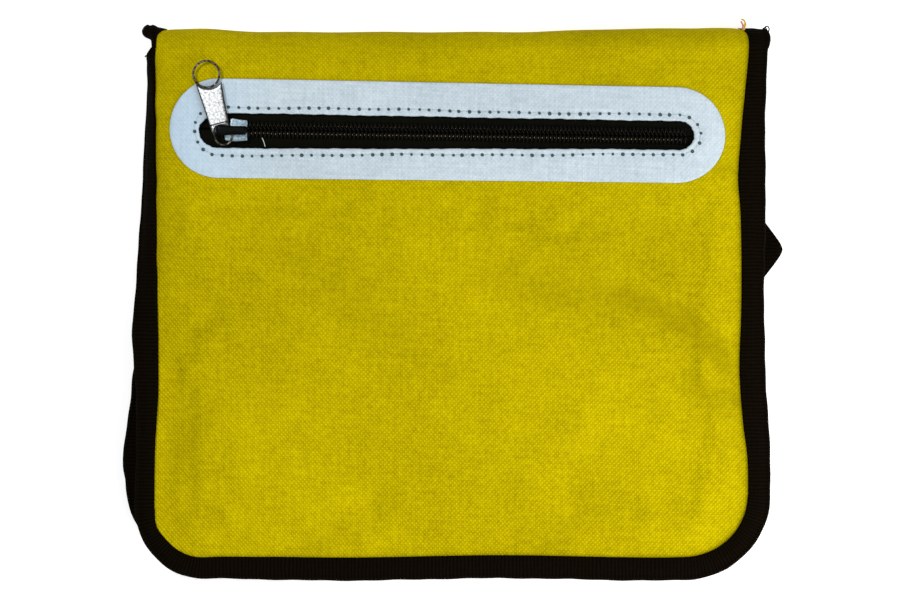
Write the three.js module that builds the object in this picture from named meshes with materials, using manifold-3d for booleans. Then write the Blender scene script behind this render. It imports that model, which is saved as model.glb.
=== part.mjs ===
// A foldable cooler bag, folded flat and lying on its back: a thin insulated bag with inward-folded
// gussets, closed by a full-length flap that turns over the top edge. The flap carries a pocket
// with a coil zip in a reflective surround. Every cloth edge is bound with ribbed tape.
// Millimetres. +X is the bag's right as worn, +Y runs up to the top fold, +Z leaves the front.
// The origin is at the middle of the footprint, on the surface that the bag lies on.

import * as THREE from "three";
import { mergeVertices } from "three/addons/utils/BufferGeometryUtils.js";
import Module from "manifold-3d";

const wasm = await Module();
wasm.setup();

// Driving sizes

const flapHalfWidth = 118;
const flapHeight = 209.5;
const cornerLeft = 27;
const cornerRight = 32;
const clearance = 0.3;

const tape = 0.8; // thickness of the binding tape
const boundEdge = 1.2; // thickness of padded cloth squeezed inside a binding
const innerEdge = 0.8; // thickness of the second layer inside a binding
const bindingWidth = 9.2; // nominal width of the tape that shows on each face
const seamGap = 0.5; // between the back binding and the front binding

const flapCloth = 1.6;
const wallCloth = 2.4; // padded front and back walls
const pocketCloth = 1;
const pocketDepth = 2.4; // room behind the zip
const compartmentDepth = 6;
const restGap = 0.4; // between the front wall and the pocket

const flapSink = 1.9; // how far the flap's bound edge lies below its flat middle
const sinkWidth = 13; // width of the slope between them
const rollWidth = 7; // length of cloth that bends where a side edge rolls down

const bodyHalfWidth = 113;
const bodyTopInset = 16.75; // from the top of the fold down to where the walls end
const lapLength = 6.5; // how far the back wall laps the flap's end, inside
const lapRise = 4; // run over which it climbs onto the flap's end
const lapHalfWidth = 90;
const bodyBottomInset = 6; // how far the flap hangs past the body at the bottom
const bodyCorner = 30;
const gussetDepth = 28;
const gussetCloth = 0.8;

const surroundHalfLength = 105.5;
const surroundRadius = 18.7;
const surroundFilm = 0.4;
const zipTilt = THREE.MathUtils.degToRad(-0.9);
const zipFromTop = 39.95; // from the top of the fold down to the zip's middle
const zipShift = -2.1; // of the zip's middle to the side
const windowHalfLength = 93.7;
const windowRadius = 6.1;

const zipTapeCloth = 0.6;
const zipTapeWidth = 12.5;
const zipTapeOverrun = 3.2; // tape beyond each end of the window
const coilWidth = 3.4;
const coilHeight = 1.9;

const sliderLength = 13.4;
const sliderWidth = 8.4;
const sliderPlate = 0.8;
const sliderFromWindowEnd = 3.9;
const sliderTail = 0.68; // width of the slider's closed end, as a share of the width of its nose
const neckLength = 2.6;
const neckWidth = 1.6;
const crownWidth = 3.4;
const crownBar = 1.2;
const crownLength = 12.4;
const crownPost = 1.4; // side of the square posts

const pullerThickness = 1.2;
const pullerAngle = THREE.MathUtils.degToRad(104.5);
const pullerLength = 33.4; // over both rings
const pullerRing = 5.4; // outer radius of the ring that is gripped
const pullerRingHole = 4.5;
const pullerEye = 3.7;
const pullerEyeHole = 3;
const pullerRootWidth = 7.4;
const eyeOffset = 3.2; // how far the eye's far end hangs from the post's centre
const eyeSlot = 2.2; // length by which the eye is longer than it is wide
const eyeShift = 1.3; // how far the pull's middle line lies to the side of the post's centre

const tabFromTop = 84.25; // from the top of the fold down to the tab's point
const tabReach = 15.5; // how far the tab stands out of the wall's seam
const tabHalfBase = 18;
const tabCloth = 1.8;

// Levels, added up from the surface that the bag lies on

const bindingHeight = 2 * tape + 3 * clearance + boundEdge + innerEdge;
const frontSeam = bindingHeight + seamGap;
const topLevel =
  2 * wallCloth + compartmentDepth + restGap + pocketCloth + pocketDepth + flapCloth;
const foldRadius = topLevel / 2;
const legStart = tape + clearance; // from a binding's outer face to the cloth inside it
const bottomEdge = -flapHeight / 2;
const topEdge = flapHeight / 2;
const bodyTop = topEdge - bodyTopInset;
const zipCentre = new THREE.Vector2(zipShift, topEdge - zipFromTop);
const foldStart = flapHeight - foldRadius;
const crest = foldStart + (foldRadius * Math.PI) / 2;
const foldEnd = foldStart + foldRadius * Math.PI;
const flapRun = foldEnd + (flapHeight / 2 - foldRadius - bodyTop - seamGap);

// Edges of the flap: shares of the flap's half width, of the binding's width, and degrees of roll.
// down is the run of cloth below the fold's crest, as a share of the flap's height.

const flapLeft = [
  { down: -0.15, seam: 0.915, width: 1, roll: 0 },
  { down: -0.06, seam: 0.93, width: 0.96, roll: 3 },
  { down: 0, seam: 0.95, width: 0.7, roll: 5 },
  { down: 0.03, seam: 0.957, width: 0.4, roll: 6 },
  { down: 0.06, seam: 0.959, width: 0.42, roll: 14 },
  { down: 0.09, seam: 0.959, width: 0.66, roll: 44 },
  { down: 0.12, seam: 0.959, width: 0.95, roll: 64 },
  { down: 0.15, seam: 0.959, width: 1, roll: 67 },
  { down: 0.24, seam: 0.957, width: 1, roll: 59 },
  { down: 0.335, seam: 0.955, width: 1, roll: 50 },
  { down: 0.426, seam: 0.954, width: 1, roll: 39 },
  { down: 0.517, seam: 0.951, width: 0.95, roll: 19 },
  { down: 0.58, seam: 0.949, width: 0.93, roll: 6 },
  { down: 0.65, seam: 0.948, width: 0.9, roll: 2 },
  { down: 0.7, seam: 0.949, width: 0.84, roll: 1 },
  { down: 0.78, seam: 0.958, width: 0.78, roll: 1 },
  { down: 0.86, seam: 0.961, width: 0.78, roll: 1 },
  { down: 1.02, seam: 0.961, width: 0.84, roll: 1 },
];

const flapRight = [
  { down: -0.15, seam: 0.915, width: 1, roll: 0 },
  { down: -0.06, seam: 0.936, width: 0.98, roll: 2 },
  { down: 0, seam: 0.947, width: 0.95, roll: 3 },
  { down: 0.045, seam: 0.952, width: 0.92, roll: 4 },
  { down: 0.08, seam: 0.951, width: 0.77, roll: 4 },
  { down: 0.15, seam: 0.939, width: 0.87, roll: 4 },
  { down: 0.21, seam: 0.929, width: 0.97, roll: 4 },
  { down: 0.3, seam: 0.918, width: 1.12, roll: 4 },
  { down: 0.37, seam: 0.926, width: 1.03, roll: 4 },
  { down: 0.48, seam: 0.929, width: 0.93, roll: 4 },
  { down: 0.56, seam: 0.927, width: 0.96, roll: 4 },
  { down: 0.645, seam: 0.922, width: 1.07, roll: 4 },
  { down: 0.735, seam: 0.932, width: 1.05, roll: 4 },
  { down: 0.81, seam: 0.948, width: 0.94, roll: 4 },
  { down: 0.87, seam: 0.95, width: 0.91, roll: 4 },
  { down: 1.02, seam: 0.95, width: 0.93, roll: 4 },
];

// Outer edges of the body under the flap, as shares of its half width. down is a share of the
// flap's height, seen from above. The left side bulges out from under the flap low down.

const bodyEdges = [
  { down: 0, left: 0.959, right: 0.982 },
  { down: 0.44, left: 0.959, right: 0.982 },
  { down: 0.51, left: 0.985, right: 0.982 },
  { down: 0.57, left: 1.04, right: 0.982 },
  { down: 0.62, left: 1.074, right: 0.982 },
  { down: 0.68, left: 1.086, right: 0.982 },
  { down: 0.73, left: 1.1, right: 0.982 },
  { down: 0.77, left: 1.112, right: 0.985 },
  { down: 0.8, left: 1.115, right: 0.985 },
  { down: 0.84, left: 1.104, right: 0.985 },
  { down: 1, left: 1.09, right: 0.985 },
];

// Depth of the folded gussets, as shares of the full depth. along runs from the top of a side
// strip to its foot, and from corner to corner on the bottom strip.

const sideGussetDepths = [
  { along: 0, depth: 1 },
  { along: 0.7, depth: 1 },
  { along: 1, depth: 0.45 },
];
const bottomGussetDepths = [
  { along: 0, depth: 0.45 },
  { along: 0.3, depth: 0.85 },
  { along: 0.7, depth: 0.85 },
  { along: 1, depth: 0.45 },
];

// Helpers for tables, easing and closed meshes

// The value of a table's column at a place, on a smooth curve through the rows.
function read(table, key, column, at) {
  let i = 1;
  while (i < table.length - 1 && at > table[i][key]) i += 1;
  const [p, q] = [table[i - 1], table[i]];
  const share = THREE.MathUtils.clamp((at - p[key]) / (q[key] - p[key]), 0, 1);
  const before = table[i - 2] ?? p;
  const after = table[i + 1] ?? q;
  const span = q[key] - p[key];
  const slopeIn = before === p ? 0 : ((q[column] - before[column]) / (q[key] - before[key])) * span;
  const slopeOut = after === q ? 0 : ((after[column] - p[column]) / (after[key] - p[key])) * span;
  const s2 = share * share;
  const s3 = s2 * share;
  return (
    (2 * s3 - 3 * s2 + 1) * p[column] +
    (s3 - 2 * s2 + share) * slopeIn +
    (3 * s2 - 2 * s3) * q[column] +
    (s3 - s2) * slopeOut
  );
}

const ease = (value, low, high) => THREE.MathUtils.smoothstep(value, low, high);

const steps = (count) => Array.from({ length: count + 1 }, (_, i) => i / count);

// A closed mesh from rings of points: each ring is a closed loop, joined to the next one.
// The first and last rings are capped, unless the rings close on themselves. The faces of the
// crossed sides are split along the other diagonal, as the cloth that they lie against is.
function loft(rings, { closed = false, crossed = [] } = {}) {
  const count = rings[0].length;
  const points = rings.flat();
  const faces = [];
  const last = closed ? rings.length : rings.length - 1;
  for (let i = 0; i < last; i += 1) {
    const here = i * count;
    const next = ((i + 1) % rings.length) * count;
    for (let j = 0; j < count; j += 1) {
      const k = (j + 1) % count;
      const [a, b, c, d] = [here + j, here + k, next + k, next + j];
      faces.push(...(crossed.includes(j) ? [a, b, d, b, c, d] : [a, b, c, a, c, d]));
    }
  }
  if (!closed) {
    const flat = rings.map(() => null);
    [0, rings.length - 1].forEach((ring) => {
      flat[ring] = capFaces(rings[ring]).map((face) => face.map((j) => ring * count + j));
    });
    flat[0].forEach(([a, b, c]) => faces.push(a, c, b));
    flat[rings.length - 1].forEach(([a, b, c]) => faces.push(a, b, c));
  }
  return facingOut(points, faces);
}

// Triangles that fill a nearly flat loop of points, in the loop's own order.
function capFaces(ring) {
  const middle = ring.reduce((sum, p) => sum.add(p), new THREE.Vector3()).divideScalar(ring.length);
  const normal = new THREE.Vector3();
  ring.forEach((p, i) => {
    const q = ring[(i + 1) % ring.length];
    normal.add(p.clone().sub(middle).cross(q.clone().sub(middle)));
  });
  normal.normalize();
  const side = ring[0].clone().sub(ring[1]).projectOnPlane(normal).normalize();
  const other = normal.clone().cross(side);
  const contour = ring.map((p) => new THREE.Vector2(p.dot(side), p.dot(other)));
  return THREE.ShapeUtils.triangulateShape(contour, []);
}

// A closed sheet from two matching grids of points, outer face first.
function sheet(outer, inner) {
  const rows = outer.length;
  const columns = outer[0].length;
  const points = [...outer.flat(), ...inner.flat()];
  const under = rows * columns;
  const faces = [];
  const at = (i, j) => i * columns + j;
  for (let i = 0; i < rows - 1; i += 1) {
    for (let j = 0; j < columns - 1; j += 1) {
      const [a, b, c, d] = [at(i, j), at(i, j + 1), at(i + 1, j + 1), at(i + 1, j)];
      faces.push(a, b, c, a, c, d, under + a, under + c, under + b, under + a, under + d, under + c);
    }
  }
  const rim = [
    ...steps(columns - 1).map((_, j) => at(0, j)),
    ...steps(rows - 1).map((_, i) => at(i, columns - 1)).slice(1),
    ...steps(columns - 1).map((_, j) => at(rows - 1, columns - 1 - j)).slice(1),
    ...steps(rows - 1).map((_, i) => at(rows - 1 - i, 0)).slice(1, -1),
  ];
  rim.forEach((a, i) => {
    const b = rim[(i + 1) % rim.length];
    faces.push(a, under + a, under + b, a, under + b, b);
  });
  return facingOut(points, faces);
}

// A BufferGeometry whose faces point outwards.
function facingOut(points, faces) {
  let volume = 0;
  for (let i = 0; i < faces.length; i += 3) {
    const [a, b, c] = [points[faces[i]], points[faces[i + 1]], points[faces[i + 2]]];
    volume += a.dot(b.clone().cross(c));
  }
  const ordered = volume > 0 ? faces : faces.slice().reverse();
  const geometry = new THREE.BufferGeometry();
  geometry.setAttribute(
    "position",
    new THREE.Float32BufferAttribute(points.flatMap((p) => p.toArray()), 3),
  );
  geometry.setIndex(ordered);
  return geometry;
}

function toSolid(geometry) {
  const bare = geometry.clone();
  bare.deleteAttribute("normal");
  bare.deleteAttribute("uv");
  const merged = mergeVertices(bare, 1e-4);
  return new wasm.Manifold(
    new wasm.Mesh({
      numProp: 3,
      vertProperties: merged.attributes.position.array,
      triVerts: new Uint32Array(merged.index.array),
    }),
  );
}

function toGeometry(solid) {
  const { vertProperties, triVerts } = solid.getMesh();
  const geometry = new THREE.BufferGeometry();
  geometry.setAttribute("position", new THREE.BufferAttribute(vertProperties, 3));
  geometry.setIndex(new THREE.BufferAttribute(triVerts, 1));
  return geometry;
}

const join = (...parts) => toGeometry(parts.map(toSolid).reduce((sum, part) => sum.add(part)));
const cut = (part, ...tools) =>
  toGeometry(tools.map(toSolid).reduce((rest, tool) => rest.subtract(tool), toSolid(part)));

// A U-shaped cloth outline in its own flat pattern: x across, run up from the bottom edge.
// left(run) and right(run) give its side edges, and rounded corners join them to the bottom.
function outline({ left, right, radii, top }) {
  const [leftRadius, rightRadius] = radii;
  const limits = (run) => {
    const dip = (radius) =>
      run >= radius ? 0 : radius - Math.sqrt(radius ** 2 - (radius - run) ** 2);
    return [left(run) + dip(leftRadius), right(run) - dip(rightRadius)];
  };
  // Distance from the edge, inwards.
  const inside = (x, run) => {
    const gap = (across, radius) => {
      if (across >= radius && run >= radius) return Math.min(across, run);
      if (across >= radius) return run;
      if (run >= radius) return across;
      return radius - Math.hypot(radius - across, radius - run);
    };
    return Math.min(gap(x - left(run), leftRadius), gap(right(run) - x, rightRadius));
  };
  // Points round the edge from the left top to the right top, each with its inward direction.
  const path = (sideRuns, cornerSteps, bottomSteps) => {
    const stations = [];
    const add = (x, run, angle, place) =>
      stations.push({ x, run, inward: [Math.cos(angle), Math.sin(angle)], place });
    const bottomWidth = right(0) - rightRadius - left(0) - leftRadius;
    const upLeft = [leftRadius, ...sideRuns.filter((run) => run > leftRadius + 1)];
    const upRight = [rightRadius, ...sideRuns.filter((run) => run > rightRadius + 1)];
    upLeft.reverse().forEach((run) => add(left(run), run, 0, "left"));
    steps(cornerSteps).slice(1).forEach((share) => {
      const angle = (share * Math.PI) / 2;
      add(
        left(leftRadius) + leftRadius * (1 - Math.cos(angle)),
        leftRadius * (1 - Math.sin(angle)),
        angle,
        "bottom",
      );
    });
    steps(bottomSteps).slice(1).forEach((share) => {
      add(left(0) + leftRadius + bottomWidth * share, 0, Math.PI / 2, "bottom");
    });
    steps(cornerSteps).slice(1).forEach((share) => {
      const angle = Math.PI / 2 + (share * Math.PI) / 2;
      add(
        right(rightRadius) - rightRadius * (1 + Math.cos(angle)),
        rightRadius * (1 - Math.sin(angle)),
        angle,
        "bottom",
      );
    });
    upRight.slice(1).forEach((run) => add(right(run), run, Math.PI, "right"));
    return stations;
  };
  return { left, right, radii, top, limits, inside, path };
}

// A padded panel inside an outline: place(x, run, lift) puts a point of its outer face in space,
// lifted along the outward normal, and thickness(x, run) says how far in its inner face lies.
function panel({ shape, place, thickness, runs, columns }) {
  const grid = (inner) =>
    runs.map((run) => {
      const [low, high] = shape.limits(run);
      return columns.map((share) => {
        const x = low + (high - low) * share;
        return place(x, run, inner ? -thickness(x, run) : 0);
      });
    });
  return sheet(grid(false), grid(true));
}

// Shares across a panel: close together at both edges, where it is bound, and wide in the middle.
function acrossShares(edgeShares, middle) {
  const span = 1 - 2 * edgeShares.at(-1);
  const inner = steps(middle).slice(1, -1).map((share) => edgeShares.at(-1) + span * share);
  const far = edgeShares.map((share) => 1 - share).reverse();
  return [...edgeShares, ...inner, ...far];
}

// Runs up a panel: close together round the corners, then even up to its top.
function upwardRuns(radius, cornerSteps, marks, top) {
  const corner = steps(cornerSteps).map((share) => radius * (1 - Math.cos((share * Math.PI) / 2)));
  return [...corner, ...marks.filter((run) => run > radius + 1 && run < top - 1), top];
}

// The tape folded over a bound edge. width(station) is how much of it shows on each face.
function binding({ stations, place, width }) {
  const inner = boundEdge + clearance + innerEdge;
  const roof = clearance + tape;
  const floor = -inner - clearance - tape;
  const bend = tape + clearance;
  const sides = 11;
  const rings = stations.map((station) => {
    const leg = width(station) - bend;
    const section = [
      [leg, clearance],
      [leg, roof],
      [0, roof],
      [-bend * 0.75, roof - bend * 0.35],
      [-bend, (roof + floor) / 2],
      [-bend * 0.75, floor + bend * 0.35],
      [0, floor],
      [leg, floor],
      [leg, floor + tape],
      [-clearance, floor + tape],
      [-clearance, clearance],
    ];
    const [inX, inRun] = station.inward;
    return section.map(([inwards, lift]) =>
      place(station.x + inX * inwards, station.run + inRun * inwards, lift),
    );
  });
  return loft(rings, { crossed: [sides - 2, sides - 1] });
}

// The flap: flat on the front, round the fold and onto the back

const down = (run) => (crest - run) / flapHeight;

// Plan position of the seam at the binding's inner edge, and the roll of the edge outside it.
function flapSide(table, run) {
  const at = down(run);
  return {
    seam: read(table, "down", "seam", at) * flapHalfWidth,
    width: read(table, "down", "width", at) * bindingWidth,
    roll: THREE.MathUtils.degToRad(Math.max(read(table, "down", "roll", at), 0.05)),
  };
}

// Where the bend begins, in the flat pattern: the roll takes up rollWidth of cloth there.
const bendStart = ({ seam, roll }) => seam - (rollWidth / roll) * Math.sin(roll);

const clothEdge = (side) => bendStart(side) + rollWidth + side.width - legStart;

// Carries a flat point at x along an edge that rolls down: its plan position, drop and tilt.
function rolled(x, side) {
  const start = bendStart(side);
  const beyond = x - start;
  if (beyond <= 0) return { x, drop: 0, tilt: 0 };
  const radius = rollWidth / side.roll;
  const tilt = side.roll * Math.min(beyond / rollWidth, 1);
  const straight = Math.max(beyond - rollWidth, 0);
  return {
    x: start + radius * Math.sin(tilt) + straight * Math.cos(tilt),
    drop: radius * (1 - Math.cos(tilt)) + straight * Math.sin(tilt),
    tilt,
  };
}

const flapShape = outline({
  left: (run) => -clothEdge(flapSide(flapLeft, Math.max(run, cornerLeft))),
  right: (run) => clothEdge(flapSide(flapRight, Math.max(run, cornerRight))),
  radii: [cornerLeft - legStart, cornerRight - legStart],
  top: flapRun,
});

// The outer face of the cloth where it runs flat, round the fold and flat again.
function foldLine(run) {
  if (run <= foldStart) return { y: bottomEdge + legStart + run, z: topLevel, out: [0, 1] };
  const turn = Math.min((run - foldStart) / foldRadius, Math.PI);
  const past = Math.max(run - foldEnd, 0);
  return {
    y: flapHeight / 2 - foldRadius + foldRadius * Math.sin(turn) - past,
    z: foldRadius * (1 + Math.cos(turn)),
    out: [Math.sin(turn), Math.cos(turn)],
  };
}

// How far the cloth sinks towards its bound edges: more on the front than on the flat back.
function flapSinkAt(x, run) {
  const most = THREE.MathUtils.lerp(flapSink, legStart, ease(run, foldStart, foldEnd));
  return most * (1 - recovery(flapShape, x, run));
}

function onFlap(x, run, lift) {
  const side = flapSide(x < 0 ? flapLeft : flapRight, Math.max(run, 0));
  const bent = rolled(Math.abs(x), side);
  const inwards = flapSinkAt(x, run) + bent.drop - lift * Math.cos(bent.tilt);
  const { y, z, out } = foldLine(run);
  return new THREE.Vector3(
    Math.sign(x) * (bent.x + lift * Math.sin(bent.tilt)),
    y - out[0] * inwards,
    z - out[1] * inwards,
  );
}

// Padding squeezed at the edge, and full away from it.
const recovery = (shape, x, run) =>
  ease(shape.inside(x, run), bindingWidth, bindingWidth + sinkWidth);
const padded = (edge, full, shape) => (x, run) =>
  edge + (full - edge) * recovery(shape, x, run);

const edgeShares = [0, 0.034, 0.048, 0.066, 0.092];

const foldMarks = steps(10).map((share) => foldStart + foldRadius * Math.PI * share);
const frontMarks = [
  0.15, 0.19, 0.25, 0.31, 0.37, 0.41, 0.45, 0.49, 0.53, 0.57, 0.61, 0.66, 0.71, 0.76, 0.81, 0.86,
  0.9, 0.925, 0.945,
];
const flapMarks = [...frontMarks.map((share) => flapHeight * share), ...foldMarks, flapRun];

function flap() {
  const cloth = panel({
    shape: flapShape,
    place: onFlap,
    thickness: padded(boundEdge, flapCloth, flapShape),
    runs: upwardRuns(flapShape.radii[1], 6, flapMarks, flapRun),
    columns: acrossShares(edgeShares, 7),
  });
  return cut(cloth, zipPrism(windowHalfLength, windowRadius, -2 * flapCloth, 2 * flapCloth));
}

function flapBinding() {
  const width = (station) => {
    if (station.place === "bottom") {
      const across = THREE.MathUtils.clamp(station.x / flapHalfWidth, -1, 1);
      return bindingWidth * (0.93 - 0.1 * ease(-across, 0.5, 0.9));
    }
    return flapSide(station.place === "left" ? flapLeft : flapRight, station.run).width;
  };
  return binding({ stations: flapShape.path(flapMarks, 6, 5), place: onFlap, width });
}

// The pocket's inner wall rests below the zip, and comes up to the flap at all its edges.
function pocketBack() {
  const top = frontMarks.at(-3) * flapHeight;
  const full = flapCloth + pocketDepth;
  const edge = boundEdge + clearance;
  const depth = (x, run) => {
    const fromSide = recovery(flapShape, x, run);
    const fromTop = ease(top - run, 1, 12);
    const atTop = flapCloth + clearance;
    const low = THREE.MathUtils.lerp(atTop, full, fromTop);
    return THREE.MathUtils.lerp(edge, low, fromSide);
  };
  return panel({
    shape: flapShape,
    place: (x, run, lift) => onFlap(x, run, lift - depth(x, run)),
    thickness: padded(innerEdge, pocketCloth, flapShape),
    runs: upwardRuns(flapShape.radii[1], 6, flapMarks, top),
    columns: acrossShares(edgeShares, 4),
  });
}

// The zip and its surround

// A point in the zip's own frame: along the zip from its middle, up across it, and above the flap.
const zipFrame = new THREE.Group();
zipFrame.position.set(zipCentre.x, zipCentre.y, topLevel);
zipFrame.rotation.z = zipTilt;

// The end points of a long round-ended outline, anticlockwise.
function roundEnded(halfLength, radius, arcSteps, straightSteps) {
  const straight = halfLength - radius;
  const arc = (side) =>
    steps(arcSteps).map((share) => {
      const angle = side * (Math.PI / 2) * (2 * share - 1) * side + (side < 0 ? Math.PI : 0);
      return new THREE.Vector2(side * straight + radius * Math.cos(angle), radius * Math.sin(angle));
    });
  const between = (from, to) =>
    steps(straightSteps).slice(1, -1).map((share) => from.clone().lerp(to, share));
  const right = arc(1);
  const left = arc(-1);
  return [...right, ...between(right.at(-1), left[0]), ...left, ...between(left.at(-1), right[0])];
}

function zipPrism(halfLength, radius, from, to) {
  const shape = new THREE.Shape(roundEnded(halfLength, radius, 10, 1));
  const prism = new THREE.ExtrudeGeometry(shape, { depth: to - from, bevelEnabled: false });
  prism.translate(0, 0, from);
  zipFrame.updateMatrix();
  return prism.applyMatrix4(zipFrame.matrix);
}

function zipSurround() {
  const outer = roundEnded(surroundHalfLength, surroundRadius, 10, 12);
  const inner = roundEnded(windowHalfLength, windowRadius, 10, 12);
  const ontoFlap = (point, lift) => {
    const turned = point.clone().rotateAround(new THREE.Vector2(), zipTilt).add(zipCentre);
    return onFlap(turned.x, turned.y - bottomEdge - legStart, lift);
  };
  const rings = outer.map((far, i) => {
    const near = inner[i];
    const across = steps(3).map((share) => near.clone().lerp(far, share));
    const top = across.map((point) => ontoFlap(point, clearance + surroundFilm));
    const under = across.map((point) => ontoFlap(point, clearance)).reverse();
    return [...top, ...under];
  });
  return loft(rings, { closed: true });
}

// Heights in the zip's own frame, measured from the flap's outer face.
const zipTapeTop = -flapCloth - clearance;
const coilFoot = zipTapeTop + clearance;
const plateFoot = coilFoot + coilHeight + clearance;
const plateTop = plateFoot + sliderPlate;
const pullerFoot = plateTop + clearance;
const crownFoot = pullerFoot + pullerThickness + clearance;
const sliderNose = -windowHalfLength + sliderFromWindowEnd;
const neckMiddle = sliderNose + neckLength / 2 + 1;

// The tapes part where the slider's neck stands between them.
function zipTape(side) {
  const tail = sliderNose + sliderLength;
  const open = neckWidth / 2 + clearance;
  const near = clearance / 2;
  const end = windowHalfLength + zipTapeOverrun;
  const shape = new THREE.Shape([
    new THREE.Vector2(-end, side * open),
    new THREE.Vector2(neckMiddle + neckLength / 2 + 1, side * open),
    new THREE.Vector2(tail, side * near),
    new THREE.Vector2(end, side * near),
    new THREE.Vector2(end, side * zipTapeWidth),
    new THREE.Vector2(-end, side * zipTapeWidth),
  ]);
  const strip = new THREE.ExtrudeGeometry(shape, { depth: zipTapeCloth, bevelEnabled: false });
  return strip.translate(0, 0, zipTapeTop - zipTapeCloth);
}

// A coil seen as a bar with a rounded back, from inside the slider to the window's far end.
function zipCoil(side) {
  const start = neckMiddle + neckLength / 2 + 1.5;
  const near = clearance / 2;
  const far = near + coilWidth;
  const end = windowHalfLength - windowRadius + Math.sqrt(windowRadius ** 2 - far ** 2) - clearance;
  const crown = coilHeight * 0.3;
  const section = [
    [near, 0],
    [far, 0],
    [far, coilHeight - crown],
    [far - crown, coilHeight],
    [near + crown, coilHeight],
    [near, coilHeight - crown],
  ];
  const ring = (x) => section.map(([y, z]) => new THREE.Vector3(x, side * y, coilFoot + z));
  return loft([ring(start), ring(end)]);
}

function sliderBody() {
  const tail = sliderNose + sliderLength;
  const nose = sliderWidth / 2;
  const plate = (foot) => {
    const shape = new THREE.Shape();
    shape.moveTo(sliderNose + nose * 0.5, -nose);
    shape.lineTo(sliderNose + sliderLength * 0.55, -nose);
    shape.lineTo(tail, -nose * (0.5 + sliderTail / 2));
    shape.lineTo(tail, nose * (0.5 + sliderTail / 2));
    shape.lineTo(sliderNose + sliderLength * 0.55, nose);
    shape.lineTo(sliderNose + nose * 0.5, nose);
    shape.quadraticCurveTo(sliderNose, nose, sliderNose, 0);
    shape.quadraticCurveTo(sliderNose, -nose, sliderNose + nose * 0.5, -nose);
    const options = { depth: sliderPlate, bevelEnabled: false, curveSegments: 5 };
    return new THREE.ExtrudeGeometry(shape, options).translate(0, 0, foot);
  };
  const lowFoot = zipTapeTop - zipTapeCloth - clearance - sliderPlate;
  const overlap = sliderPlate / 4; // the neck reaches into both plates
  const neckHeight = plateFoot - lowFoot - sliderPlate + 2 * overlap;
  const neck = new THREE.BoxGeometry(neckLength, neckWidth, neckHeight);
  neck.translate(neckMiddle, 0, lowFoot + sliderPlate - overlap + neckHeight / 2);
  return join(plate(plateFoot), neck, plate(lowFoot));
}

// The middle of the crown's first post, which the puller's eye hangs on and turns about.
const postMiddle = sliderNose + 2.4;

function sliderCrown() {
  const low = plateTop + clearance;
  const top = crownFoot + crownBar;
  const start = postMiddle - crownPost / 2;
  const side = new THREE.Shape();
  side.moveTo(start, low);
  side.lineTo(start + crownPost, low);
  side.lineTo(start + crownPost, crownFoot);
  side.lineTo(start + crownLength - crownPost, crownFoot);
  side.lineTo(start + crownLength - crownPost, low);
  side.lineTo(start + crownLength, low);
  side.lineTo(start + crownLength, top - crownBar);
  side.quadraticCurveTo(start + crownLength, top, start + crownLength - crownBar, top);
  side.lineTo(start + crownBar, top);
  side.quadraticCurveTo(start, top, start, top - crownBar);
  const options = { depth: crownWidth, bevelEnabled: false, curveSegments: 4 };
  const arch = new THREE.ExtrudeGeometry(side, options);
  arch.rotateX(Math.PI / 2).translate(0, crownWidth / 2, 0);
  // The posts are narrower than the bar, so that the eye can turn round them.
  const shave = (sign) => {
    const height = crownFoot - low + clearance;
    const block = new THREE.BoxGeometry(crownLength * 2, crownWidth, height);
    const across = sign * (crownPost / 2 + crownWidth / 2);
    return block.translate(start + crownLength / 2, across, crownFoot - height / 2);
  };
  return cut(arch, shave(1), shave(-1));
}

// Lies flat, along its own +X from the post: the eye first, then the plate, then the ring.
function sliderPuller() {
  const eyeX = -eyeOffset;
  const ringX = eyeX - pullerEye + pullerLength - pullerRing;
  const disc = (x, radius, low, high) => {
    const round = new THREE.CylinderGeometry(radius, radius, high - low, 20);
    return round.rotateX(Math.PI / 2).translate(x, -eyeShift, (low + high) / 2);
  };
  const bar = (from, to, startWidth, endWidth, low, high) => {
    const shape = new THREE.Shape([
      new THREE.Vector2(from, -startWidth - eyeShift),
      new THREE.Vector2(to, -endWidth - eyeShift),
      new THREE.Vector2(to, endWidth - eyeShift),
      new THREE.Vector2(from, startWidth - eyeShift),
    ]);
    const options = { depth: high - low, bevelEnabled: false };
    return new THREE.ExtrudeGeometry(shape, options).translate(0, 0, low);
  };
  const waist = eyeX + eyeSlot + pullerEye * 0.6;
  const shoulder = ringX - pullerRing * 0.35;
  const whole = join(
    disc(eyeX, pullerEye, 0, pullerThickness),
    bar(eyeX, waist + 1, pullerEye, pullerEye, 0, pullerThickness),
    bar(waist, shoulder, pullerRootWidth / 2, pullerRing * 0.93, 0, pullerThickness),
    disc(ringX, pullerRing, 0, pullerThickness),
  );
  const [under, over] = [-pullerThickness, 2 * pullerThickness];
  return cut(
    whole,
    disc(eyeX, pullerEyeHole, under, over),
    bar(eyeX, eyeX + eyeSlot, pullerEyeHole, pullerEyeHole, under, over),
    disc(eyeX + eyeSlot, pullerEyeHole, under, over),
    disc(ringX, pullerRingHole, under, over),
  );
}

// The bag's walls under the flap

const bodySide = (side, run) => {
  const y = bottomEdge + bodyBottomInset + legStart + run;
  const at = (flapHeight / 2 - y) / flapHeight;
  return read(bodyEdges, "down", side, at) * bodyHalfWidth - legStart;
};

const bodyShape = outline({
  left: (run) => -bodySide("left", Math.max(run, bodyCorner)),
  right: (run) => bodySide("right", Math.max(run, bodyCorner)),
  radii: [bodyCorner - legStart, bodyCorner - legStart],
  top: bodyTop - bottomEdge - bodyBottomInset - legStart,
});

// Lays a wall flat with its outer face at a level: facing is 1 for up and -1 for down.
function wallPlace(level, facing, sink) {
  return (x, run, lift) => {
    const out = lift - sink * (1 - recovery(bodyShape, x, run));
    const y = bottomEdge + bodyBottomInset + legStart + run;
    return new THREE.Vector3(x, y, level + facing * out);
  };
}

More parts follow.
